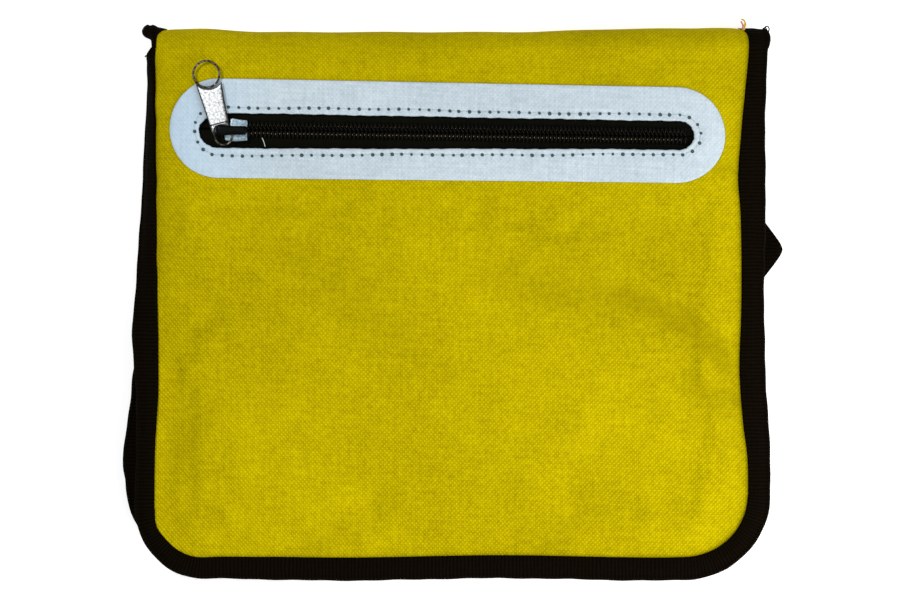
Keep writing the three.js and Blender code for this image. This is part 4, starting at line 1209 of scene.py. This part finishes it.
def bridge():
    """Up the first post, along the bar and down the last post, with rounded shoulders. The
    section is a fuller circle that widens from post to bar, and more over the first post."""
    top, low = crown_foot + crown_bar / 2, plate_top - 0.05
    x0, x1, r = post_middle, post_middle + crown_length - 1.4, shoulder
    a = np.linspace(0, math.pi / 2, 9)
    path = np.concatenate([
        pair(x0, np.linspace(low, top - r, 5)),
        pair(x0 + r * (1 - np.cos(a)), top - r + r * np.sin(a))[1:],
        pair(np.linspace(x0 + r, x1 - r, 20), top)[1:],
        pair(x1 - r + r * np.sin(a), top - r + r * np.cos(a))[1:],
        pair(x1, np.linspace(top - r, low, 5))[1:],
    ])
    line = np.stack([path[:, 0], 0 * path[:, 0], path[:, 1]], axis=-1)
    on_bar = smooth_step(path[:, 1], top - r, top)
    width = post_half[0] + (bar_half[0] - post_half[0]) * on_bar
    width = width + bar_head * bell(path[:, 0] - x0 - 1.2, 2.6) * on_bar
    height = post_half[1] + (bar_half[1] - post_half[1]) * on_bar
    width[[0, -1]] = height[[0, -1]] = 0
    tangent = unit(np.gradient(line, axis=0))
    normal = np.stack([-tangent[:, 2], 0 * tangent[:, 0], tangent[:, 0]], axis=-1)
    c, s = full_circle(16, 0.7, 0.8)
    line[:, 1] += bar_drop * on_bar
    points = line[:, None] + normal[:, None] * (s * height[:, None])[..., None]
    points[..., 1] += c * width[:, None]
    return points, grid_quads(len(line), 16, round_columns=True)


points, quads = bridge()
slider_bridge = weld(make_piece("slider_bridge", in_zip(points), quads))

# %% [markdown]
# The pull is a flat plate that widens towards a wire ring, with a thin wire eye at its root. The
# plate could be a bevelled slab. It is lofted along its length instead, because its groove, its
# forked root and the hollow end that fits the ring are then a few numbers each. The ring and the
# eye are tubes along closed lines.

# %% Pull
puller_angle = math.radians(104.5)
pull_middle = puller_foot + puller_thickness / 2
ring_x, ring_half, ring_wire = 20.9, (5.05, 4.95), 0.43
eye_x, eye_half, eye_wire, eye_stretch = -3.5, (3.25, 3.2), 0.38, 2.2
plate_length, stretch_from, pull_aside = 19.5, 11.0, 1.3
hollow_x, hollow_radius, hollow_half = 20.4, 5.5, 4.6  # the arc at the far end, round the ring


def wire_loop(x, y, radius):
    """Round wire along a closed flat line."""
    line = np.stack([x, y, 0 * x + pull_middle], axis=-1)
    aside = np.cross(unit(np.roll(line, -1, axis=0) - np.roll(line, 1, axis=0)), (0.0, 0.0, 1.0))
    up = np.broadcast_to((0.0, 0.0, 1.0), line.shape)
    return tube(line, aside, up, radius, 12), grid_quads(len(line), 12, True, True)


def pull_slab():
    """Sections along the plate: a fuller circle whose half width and half height are read from
    two short tables. The far end follows the ring and the root is forked round the post. The
    rims, the groove and the far end carry painted shade, which darkens them."""
    x = [1.0, 1.07, 1.17, 1.3, 1.45, 1.6, 1.75, 2.0, 5.8, 9.0, 13.0, 17.4, 18.0, 18.6, 19.2]
    x = np.array(x + [plate_length])[:, None]
    half_width = np.interp(x, [1.0, 1.07, 1.3, 3.2, 17.4, 19.5], [3.3, 3.55, 3.7, 3.8, 4.75, 4.85])
    half_height = np.interp(
        x, [1.0, 1.07, 1.17, 1.45, 1.6, 1.75, 17.4, 18.6, 19.2, 19.5],
        [0.15, 0.40, 0.54, 0.58, 0.34, 0.6, 0.6, 0.58, 0.45, 0.15],
    )
    c, s = full_circle(40, 0.35, 0.45)
    across = half_width * c
    arc = np.sqrt(hollow_radius**2 - np.minimum(np.abs(across), hollow_half) ** 2)
    end = hollow_x - arc + 0.16 * across
    stretched = (x - stretch_from) * (end - stretch_from) / (plate_length - stretch_from)
    fork = 2.7 * np.abs(across / half_width) ** 3 * np.clip((1.45 - x) / 0.45, 0, 1)
    along = np.where(x > stretch_from, stretch_from + stretched, x - fork)
    slab = np.stack([along, across, pull_middle + half_height * s], axis=-1)
    # Painted shade: the rims, the groove at the root and the far end by the ring are darkened.
    rim = np.clip(1.2 * (1 - (half_width - np.abs(across)) / np.where(across < 0, 1.15, 0.8)), 0, 1)
    painted_shade = bell(x - 1.6, 0.2) + rim + 0.3 * np.exp((x - plate_length) / 0.3)
    slab, painted_shade = (np.concatenate([v[:1], v, v[-1:]]) for v in (slab, np.clip(painted_shade, 0, 1)))
    slab[[0, -1], :, 2] = pull_middle
    return (slab, grid_quads(len(slab), 40, round_columns=True)), painted_shade


def lay_pull(name, parts, painted_shade=None):
    """Turn the pull's own frame to its angle on the bag, about the bridge's first post."""
    points, quads = gather(parts)
    x, y = points[:, 0], points[:, 1] - pull_aside
    c, s = math.cos(puller_angle - zip_tilt), math.sin(puller_angle - zip_tilt)
    points = np.stack([post_middle + x * c - y * s, x * s + y * c, points[:, 2]], axis=-1)
    return weld(make_piece(name, in_zip(points), quads, None, painted_shade))


a = circle(56)
ring_line = ring_x + ring_half[0] * np.cos(a), ring_half[1] * np.sin(a)
longer = np.where(np.cos(a) > 0, eye_stretch, 0.0)
eye_line = eye_x + eye_half[0] * np.cos(a) + longer, eye_half[1] * np.sin(a) - 0.35
slab, painted_shade = pull_slab()
pull_plate = lay_pull("pull_plate", [slab], painted_shade)
wires = [wire_loop(*ring_line, ring_wire), wire_loop(*eye_line, eye_wire)]
pull_wires = lay_pull("pull_wires", wires)

# %% [markdown]
# ## Loose threads
# Where the tape was cut, a few ends have frayed: a curl at the fold's left knuckle, a loop and a
# short yellow end at the right. A hair system suits thousands of fibres. These few are thin tubes
# along lines of three to five points, smoothed, so that each lies just where the photograph has it.

# %% Frayed ends
def fibres(name, *lines):
    """Round fibres along smoothed lines, each given as its radius and a few points."""
    parts = []
    for radius, *knots in lines:
        knots = np.asarray(knots, float)
        t = np.linspace(0, len(knots) - 1, 8 * len(knots))
        line = np.stack([np.interp(t, np.arange(len(knots)), axis) for axis in knots.T], axis=-1)
        for _ in range(6):
            line[1:-1] = (line[:-2] + 2 * line[1:-1] + line[2:]) / 4
        radii = np.full(len(line), radius)
        radii[[0, -1]] = 0
        tangent = unit(np.gradient(line, axis=0))
        aside = unit(np.cross(tangent, (0.3, 0.2, 1.0)))
        ring = tube(line, aside, np.cross(aside, tangent), radii, 6)
        parts.append((ring, grid_quads(len(line), 6, round_columns=True)))
    return weld(make_piece(name, *gather(parts)))


dark_fibres = fibres(
    "frayed_tape_ends",
    (0.34, (-113.6, 93.2, 11.0), (-115.2, 93.2, 11.2), (-116.5, 94.6, 11.4)),
    (0.26, (-113.7, 92.6, 11.2), (-115.2, 92.6, 11.5), (-116.2, 93.9, 11.8)),
    (0.40, (-116.6, 94.6, 11.2), (-115.9, 93.2, 11.0), (-115.2, 91.4, 10.8), (-115.2, 88.6, 10.4)),
    (0.28, (-116.2, 93.9, 11.0), (-115.3, 92.4, 10.8), (-114.9, 90.6, 10.6), (-115.0, 88.2, 10.2)),
    (0.20, (-116.0, 94.0, 11.0), (-116.9, 94.3, 11.0), (-117.4, 93.6, 10.8)),
    (0.26, (118.2, 103.2, 9.6), (118.9, 105.2, 9.8), (120.0, 105.6, 9.8), (120.6, 104.5, 9.8),
     (120.0, 102.6, 9.6)),
    (0.18, (117.6, 103.8, 9.4), (118.4, 104.9, 9.6), (119.4, 104.9, 9.8), (119.9, 103.4, 9.8)),
)
yellow_fibres = fibres(
    "frayed_cloth_end",
    (0.34, (110.6, 103.7, 11.6), (110.3, 104.9, 11.8), (111.3, 106.3, 12.0), (110.9, 107.6, 12.0),
     (109.6, 108.1, 11.8)),
    (0.26, (110.9, 103.8, 11.6), (111.1, 105.2, 11.8), (111.6, 106.5, 12.0)),
)
pink_fibres = fibres(
    "frayed_seam_thread",
    (0.34, (110.0, 104.0, 12.0), (110.4, 105.2, 12.2), (110.1, 106.4, 12.2), (109.5, 107.3, 12.1)),
)
lint = fibres("lint", (0.13, (-72.6, 62.9, 15.0), (-71.9, 61.4, 15.5), (-71.3, 59.2, 15.2)))

# %% [markdown]
# ## Finishes
# Everything here is cloth, thread, nylon or metal, and none of it is one flat colour. A picture of
# cloth could be mapped on, but it blurs up close, so each finish is worked out by shader nodes.
# Most of those do plain sums. A small class lets the sums be written as formulas, so that a weave
# reads as the waves that it is made of.

# %% Node helpers
class Field:
    """A socket that can stand in a formula: each sign adds one Math node to its tree."""

    def __init__(self, tree, socket):
        self.tree, self.socket = tree, socket

    def sum_node(self, operation, *values):
        """One Math node; each method below names its sum."""
        inputs = dict(enumerate(values))
        return add_node(self.tree, "ShaderNodeMath", inputs, operation=operation)

    def __add__(self, other):
        return self.sum_node("ADD", self, other)

    def __sub__(self, other):
        return self.sum_node("SUBTRACT", self, other)

    def __rsub__(self, other):
        return self.sum_node("SUBTRACT", other, self)

    def __mul__(self, other):
        return self.sum_node("MULTIPLY", self, other)

    def __truediv__(self, other):
        return self.sum_node("DIVIDE", self, other)

    def sine(self):
        return self.sum_node("SINE", self)

    def cosine(self):
        return self.sum_node("COSINE", self)

    def size(self):
        return self.sum_node("ABSOLUTE", self)

    def clamped(self):
        return add_node(self.tree, "ShaderNodeClamp", {0: self})


def feed(value, socket):
    """Link a field to a socket, or set the socket to a number or a colour."""
    if isinstance(value, Field):
        value.tree.links.new(value.socket, socket)
    else:
        socket.default_value = (*value, 1.0) if isinstance(value, tuple) else value


def add_node(tree, kind, inputs, output=0, **settings):
    """One node with its settings and its inputs, by name or number; one output as a field."""
    node = tree.nodes.new(kind)
    for name, value in settings.items():
        setattr(node, name, value)
    for key, value in inputs.items():
        feed(value, node.inputs[key])
    return Field(tree, node.outputs[output])


def mix_colour(factor, a, b):
    """Colour a where the factor is 0, colour b where it is 1."""
    return add_node(factor.tree, "ShaderNodeMix", {0: factor, 6: a, 7: b}, 2, data_type="RGBA")


def noise(place, scale, detail=2.0, rough=0.5):
    """Soft noise round 0.5; scale is in waves to the metre."""
    inputs = {"Vector": place, "Scale": scale, "Detail": detail, "Roughness": rough}
    return add_node(place.tree, "ShaderNodeTexNoise", inputs, "Fac")


def separate(place):
    """The x and y of a vector."""
    x = add_node(place.tree, "ShaderNodeSeparateXYZ", {0: place}, 0)
    return x, Field(place.tree, x.socket.node.outputs[1])


def combine(x, y):
    """A vector from its x and y."""
    return add_node(x.tree, "ShaderNodeCombineXYZ", {0: x, 1: y})


def new_group(name, inputs):
    """A shader group that turns a place and some numbers into a height and a shade. It gives
    the inputs as fields by name, and a function that links the two results and returns the
    group."""
    group = bpy.data.node_groups.new(name, "ShaderNodeTree")
    group.interface.new_socket(name="Place", in_out="INPUT", socket_type="NodeSocketVector")
    for label, value in inputs.items():
        socket = group.interface.new_socket(
            name=label, in_out="INPUT", socket_type="NodeSocketFloat",
        )
        socket.default_value = value
    for label in ("Height", "Shade"):
        group.interface.new_socket(name=label, in_out="OUTPUT", socket_type="NodeSocketFloat")
    entry = group.nodes.new("NodeGroupInput").outputs
    leave = group.nodes.new("NodeGroupOutput").inputs
    given = {socket.name: Field(group, socket) for socket in entry if socket.name}

    def results(height, shade):
        """Link both results, and hand the group over."""
        feed(height, leave["Height"])
        feed(shade, leave["Shade"])
        return group

    return given, results


def use_group(group, inputs):
    """The height and the shade that a group gives for some inputs."""
    tree = inputs["Place"].tree
    height = add_node(tree, "ShaderNodeGroup", inputs, "Height", node_tree=group)
    return height, Field(tree, height.socket.node.outputs["Shade"])


def new_material(name, roughness, metallic=0.0):
    """A material, its node tree and the inputs of its Principled shader."""
    material = bpy.data.materials.new(name)
    material.use_nodes = True
    tree = material.node_tree
    shader = tree.nodes["Principled BSDF"].inputs
    shader["Roughness"].default_value = roughness
    shader["Metallic"].default_value = metallic
    return material, tree, shader


def pattern_place(tree):
    """The place on the cloth's flat pattern."""
    return add_node(tree, "ShaderNodeUVMap", {}, uv_map="pattern")


def painted_shade_at(tree):
    """How much painted shade darkens the point, from the piece's own attribute."""
    return add_node(tree, "ShaderNodeAttribute", {}, "Fac", attribute_name="painted_shade")


def add_bump(shader, height, depth):
    """depth is the pattern's real height in metres."""
    inputs = {"Strength": 1.0, "Distance": depth, "Height": height}
    feed(add_node(height.tree, "ShaderNodeBump", inputs), shader["Normal"])


def srgb(r, g, b):
    """Linear colour from the 0 to 255 numbers that a picture shows."""
    c = np.array([r, g, b]) / 255
    return tuple(float(v) for v in np.where(c <= 0.04045, c / 12.92, ((c + 0.055) / 1.055) ** 2.4))


print("mid grey, 128, is", round(srgb(128, 128, 128)[0], 3), "in linear light")

# %% [markdown]
# One node group draws woven cloth: threads over and under each other as two crossed waves, a
# slow unevenness from yarn to yarn, and the height that they give. Blender's wave texture draws
# waves in one direction alone, so the crossing is a formula. Yellow cloth, pale surround, black
# lining and zip tape all use it with their own pitch, contrast and colours. A second group draws
# the tape's ribs.

# %% Woven cloth and ribbed tape
def weave_group():
    """Plain weave. With u and v counting threads across and up, a crown |sin pi u||sin pi v|
    sits on each thread, and the difference of the two diagonal waves cos pi(u - v) and
    cos pi(u + v) says which thread is on top. The lean makes one diagonal the stronger."""
    given, results = new_group("plain_weave", {
        "Pitch across": 0.0008, "Pitch up": 0.00087, "Unevenness": 0.3, "Contrast": 0.7,
    })
    place, pitch_across, pitch_up = given["Place"], given["Pitch across"], given["Pitch up"]
    x, y = separate(place)
    y = y + x * 0.045
    wobble = (noise(place, 160.0) - 0.5) * 0.9
    across, up = x / pitch_across + wobble, y / pitch_up + wobble
    crown = (across * math.pi).sine().size() * (up * math.pi).sine().size()
    lean = x * 3.2 + wobble * 0.35
    falling = ((across + up) * math.pi).cosine() * (1.0 - lean)
    rising = ((across - up) * math.pi).cosine() * (lean + 1.0)
    height = crown * 0.36 + (rising - falling) * 0.5 * 0.33
    weft = noise(combine(x * 60.0, y / pitch_up), 1.0, 1.0)
    warp = noise(combine(x / pitch_across, y * 60.0), 1.0, 1.0)
    yarn = weft + warp - 1.0
    return results(height, height * given["Contrast"] + yarn * given["Unevenness"])


def rib_group():
    """Ribbed tape: ridges |sin| across it, broken by the yarns |sin| along it."""
    given, results = new_group("tape_ribs", {"Pitch": 0.00139})
    place = given["Place"]
    x, y = separate(place)
    wobble = (noise(place, 220.0) - 0.5) * 0.9
    ridge = ((x / given["Pitch"] + wobble) * math.pi).sine().size()
    yarns = (y * math.pi / 0.0009).sine().size()
    height = ridge * 0.75 + yarns * ridge * 0.25
    return results(height, height * 0.6 + noise(place, 900.0) * 0.5)


plain_weave, tape_ribs = weave_group(), rib_group()
print("node groups", [group.name for group in bpy.data.node_groups])

# %% [markdown]
# Every cloth runs from a dark colour in its crossings to a light one on its threads' crowns. Slow
# noise at three scales makes the blotches that real dyed cloth has, and painted shade darkens the
# creases and the fold. One function makes them all, because they differ in numbers alone.

# %% Cloth materials
painted_shade_share, cool_share = 0.35, 0.4
ribs_deep = 0.00022  # metres


def woven(name, dark, light, pitch, depth, roughness=0.9, uneven=0.20, blotch=0.42,
          gloss=0.03, contrast=0.63, base=0.305, cool_end=None):
    """The colour's place between dark and light is 0.9 * (shade + blotches) + base. A cool end
    is a second colour that comes in towards the left."""
    material, tree, shader = new_material(name, roughness)
    place = pattern_place(tree)
    height, shade = use_group(plain_weave, {
        "Place": place, "Pitch across": pitch[0], "Pitch up": pitch[1], "Unevenness": uneven,
        "Contrast": contrast,
    })
    blotches = noise(place, 110.0, 3.0) * 0.7 + noise(place, 14.0)
    blotches = noise(place, 520.0) * 1.25 + blotches
    shade = shade + (blotches - 1.475) * blotch
    colour = mix_colour((shade * 0.9 + base).clamped(), dark, light)
    if cool_end is not None:
        towards_left = (separate(place)[0] * -22.0 + -1.35).clamped()
        colour = mix_colour(towards_left * cool_share, colour, cool_end)
    # Painted shade: the piece's attribute pulls the colour towards the dark end in the creases and
    # on the fold.
    feed(mix_colour(painted_shade_at(tree) * painted_shade_share, colour, dark), shader["Base Color"])
    shader["Specular IOR Level"].default_value = gloss
    add_bump(shader, height, depth)
    return material


def ribbed(name, dark, light):
    """Tape whose ribs run from dark in the grooves to light on the ridges."""
    material, tree, shader = new_material(name, 0.9)
    height, shade = use_group(tape_ribs, {"Place": pattern_place(tree)})
    feed(mix_colour(shade, dark, light), shader["Base Color"])
    shader["Specular IOR Level"].default_value = 0.02
    add_bump(shader, height, ribs_deep)
    return material


yellow_cloth = woven(
    "yellow_cloth", srgb(134, 119, 0), srgb(226, 207, 0), (0.00080, 0.00087), 0.00016,
)
pale_cloth = woven(
    "pale_surround_cloth", srgb(158, 174, 184), srgb(214, 226, 233), (0.00087, 0.00093), 0.00005,
    roughness=0.6, uneven=0.46, blotch=0.46, gloss=0.2, contrast=0.32, base=0.385,
    cool_end=srgb(178, 214, 242),
)
black_lining = woven(
    "black_lining_cloth", srgb(6, 5, 3), srgb(28, 25, 20), (0.0006, 0.0006), 0.0001,
)
zip_cloth = woven("zip_tape_weave", srgb(2, 2, 1), srgb(24, 24, 16), (0.0011, 0.0005), 0.00012)
black_tape = ribbed("black_ribbed_tape", srgb(3, 1, 0), srgb(16, 11, 4))
print("cloths", [cloth.name for cloth in bpy.data.materials])

# %% [markdown]
# Thread, nylon and metal need less: the thread takes the surround's colour, the coil is smooth
# and dark, and the cast pull is bright with a worn, mottled skin that breaks up its gloss. Their
# patterns are grains without a direction, so they read the object's own coordinates.

# %% Thread, nylon and metal materials
skin_deep, pits_deep = 0.00002, 0.00006  # metres


def plain_finish(name, dark, light, roughness, scale, gloss=0.5):
    """Colour and gloss broken up by a noise at the given scale, with a little bump."""
    material, tree, shader = new_material(name, roughness)
    fine = noise(add_node(tree, "ShaderNodeTexCoord", {}, "Object"), scale, 4.0, 0.6)
    feed(mix_colour(fine, srgb(*dark), srgb(*light)), shader["Base Color"])
    feed((fine - 0.5) * 0.1 + roughness, shader["Roughness"])
    shader["Specular IOR Level"].default_value = gloss
    add_bump(shader, fine, skin_deep)
    return material


def cast_metal(name, dark, light, mottle, lift):
    """Bright cast metal: fine pits and dull specks over a polished skin. The noise is sharpened
    by mottle about its middle, lifted, and lowered again by painted shade."""
    material, tree, shader = new_material(name, 0.3, 1.0)
    place = add_node(tree, "ShaderNodeTexCoord", {}, "Object")
    grain = noise(place, 1100.0, 5.0, 0.7) * 0.65 + noise(place, 4200.0, 3.0, 0.6) * 0.35
    polish = grain * mottle + (0.5 - 0.5 * mottle + lift)
    # Painted shade lowers the polish where the piece's attribute marks it: the pull's rims, groove
    # and far end.
    polish = (polish - painted_shade_at(tree) * 0.9).clamped()
    feed(mix_colour(polish, srgb(*dark), srgb(*light)), shader["Base Color"])
    feed(0.55 - polish * 0.3, shader["Roughness"])
    add_bump(shader, grain, pits_deep)
    return material


finishes = {row[0]: plain_finish(*row) for row in [
    ("pale_thread", (150, 168, 180), (206, 220, 228), 0.7, 1800.0),
    ("needle_hole_shadow", (40, 54, 54), (84, 102, 102), 0.9, 1500.0, 0.05),
    ("black_nylon", (3, 3, 1), (12, 11, 7), 0.38, 900.0, 0.10),
    ("warm_coil_thread", (92, 74, 34), (190, 166, 104), 0.6, 2200.0),
    ("white_lint", (190, 196, 200), (240, 242, 244), 0.8, 1500.0),
    ("yellow_thread", (160, 140, 0), (216, 190, 30), 0.8, 1500.0),
    ("pink_seam_thread", (170, 70, 80), (226, 130, 120), 0.8, 1500.0),
    ("black_thread", (6, 5, 4), (40, 34, 28), 0.85, 1500.0, 0.05),
    ("black_enamel", (3, 4, 3), (10, 14, 12), 0.34, 700.0, 0.05),
]}
bright_metal = cast_metal("bright_cast_metal", (56, 56, 54), (244, 247, 248), 3.4, 0.14)
worn_wire = cast_metal("worn_wire_metal", (26, 22, 15), (186, 178, 160), 4.2, -0.36)
# The slider's plates are bright metal, and their pale blue tint is a painted reflection of blue
# light.
blue_metal = cast_metal("pale_slider_metal", (70, 92, 104), (190, 212, 222), 2.6, -0.05)
print("plain finishes", list(finishes))

# %% [markdown]
# ## Each piece gets its finish and its place in the model
# Each piece could be settled where it is made, but one table shows at a glance that no solid is
# forgotten. A row holds a piece, its finish, the model's material slot and the solids that it
# stands for.

# %% Settle the pieces
gussets = [left_gusset, right_gusset, bottom_gusset]
for piece, finish, slot, *nodes in [
    (flap_panel, yellow_cloth, "yellow_cloth", "flap"),
    (flap_tape, black_tape, "black_tape", "flap_binding"),
    (front_wall, yellow_cloth, "yellow_cloth", "front_panel"),
    (back_wall, yellow_cloth, "yellow_cloth", "back_panel"),
    (front_tape, black_tape, "black_tape", "front_binding"),
    (back_tape, black_tape, "black_tape", "back_binding"),
    (left_gusset[0], black_lining, "black_cloth", "gusset_left"),
    (right_gusset[0], black_lining, "black_cloth", "gusset_right"),
    (bottom_gusset[0], black_lining, "black_cloth", "gusset_bottom"),
    (pocket_lining, black_lining, "black_cloth", "pocket_back"),
    (tab, black_tape, "black_tape", "side_tab"),
    (surround_cloth, pale_cloth, "pale_film", "zip_surround"),
    (stitches, finishes["pale_thread"], "pale_film"),
    (holes, finishes["needle_hole_shadow"], "pale_film"),
    (weave_upper, zip_cloth, "zip_cloth", "zip_tape_upper"),
    (weave_lower, zip_cloth, "zip_cloth", "zip_tape_lower"),
    (coil_upper, finishes["black_nylon"], "zip_coil", "zip_coil_upper"),
    (coil_lower, finishes["black_nylon"], "zip_coil", "zip_coil_lower"),
    (slider_plates, blue_metal, "silver_metal", "slider_body"),
    (slider_bridge, finishes["black_enamel"], "black_metal", "slider_crown"),
    (pull_plate, bright_metal, "silver_metal", "slider_puller"),
    (pull_wires, worn_wire, "silver_metal"),
    (beads, finishes["warm_coil_thread"], "zip_coil"),
    (lint, finishes["white_lint"], "pale_film"),
    (dark_fibres, finishes["black_thread"], "black_tape"),
    (yellow_fibres, finishes["yellow_thread"], "yellow_cloth"),
    (pink_fibres, finishes["pink_seam_thread"], "yellow_cloth"),
]:
    piece.data.materials.append(finish)
    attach(piece, "puller" if piece in (pull_plate, pull_wires) else "bag")
    if nodes:
        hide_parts(*nodes)
    print(piece.name, "is", finish.name)

for piece, flat, area in gussets:
    whole = flat[0] * flat[1]
    min(area, whole)
lining_size = (float(np.ptp(pocket_x)) * MM, float(np.ptp(lining_points[..., 1])) * MM)

# %% [markdown]
# ## Floor
# The photograph is a bag on plain white. More lamps could whiten the floor, but would wash the
# bag's shadow out. A large flat sheet with a little light of its own keeps both.

# %% Floor
def floor():
    """A square under the bag, just below it."""
    reach, level = 1500, -0.02
    corners = [(-1, -1), (1, -1), (1, 1), (-1, 1)]
    points = np.array([(x * reach, y * reach, level) for x, y in corners], float)
    piece = make_piece("floor", points, np.array([[0, 1, 2, 3]]))
    material, _, shader = new_material("white_floor", 0.9)
    shader["Base Color"].default_value = (0.93, 0.93, 0.93, 1)
    shader["Emission Color"].default_value = (1, 1, 1, 1)
    shader["Emission Strength"].default_value = 0.42
    shader["Specular IOR Level"].default_value = 0.1
    piece.data.materials.append(material)
    return piece


floor()

# %% [markdown]
# ## Light
# The light is even, a little stronger from the upper left, so that the pull throws a soft shadow
# to its right. A sun would draw that shadow with a hard edge, so the lamps are round areas. The
# world is dimmer as a light than it looks, so the cloth keeps its depth in front of a white ground.

# %% Lights
def soft_light(name, place, size, power):
    """A round area light that faces the bag."""
    data = bpy.data.lights.new(name, "AREA")
    data.shape = "DISK"
    data.size = size
    data.energy = power
    light = bpy.data.objects.new(name, data)
    light.location = place
    light.rotation_euler = (-Vector(place)).to_track_quat("-Z", "Y").to_euler()
    bpy.context.collection.objects.link(light)


soft_light("key", (-0.50, 0.38, 0.95), size=0.14, power=5.4)
soft_light("side", (0.38, -0.25, 0.34), size=0.70, power=4.1)
soft_light("overhead", (-0.1, 0.1, 2.0), size=1.0, power=3.2)
as_light, as_seen = 0.22, 0.95
world = bpy.data.worlds.new("studio")
world.use_nodes = True
sky = world.node_tree
background = sky.nodes["Background"].inputs
background["Color"].default_value = (1, 1, 1, 1)
seen = add_node(sky, "ShaderNodeLightPath", {}, "Is Camera Ray")
feed(seen * (as_seen - as_light) + as_light, background["Strength"])
bpy.context.scene.world = world
bpy.context.scene.view_settings.view_transform = "Standard"
print("lights", [light.name for light in bpy.data.lights])
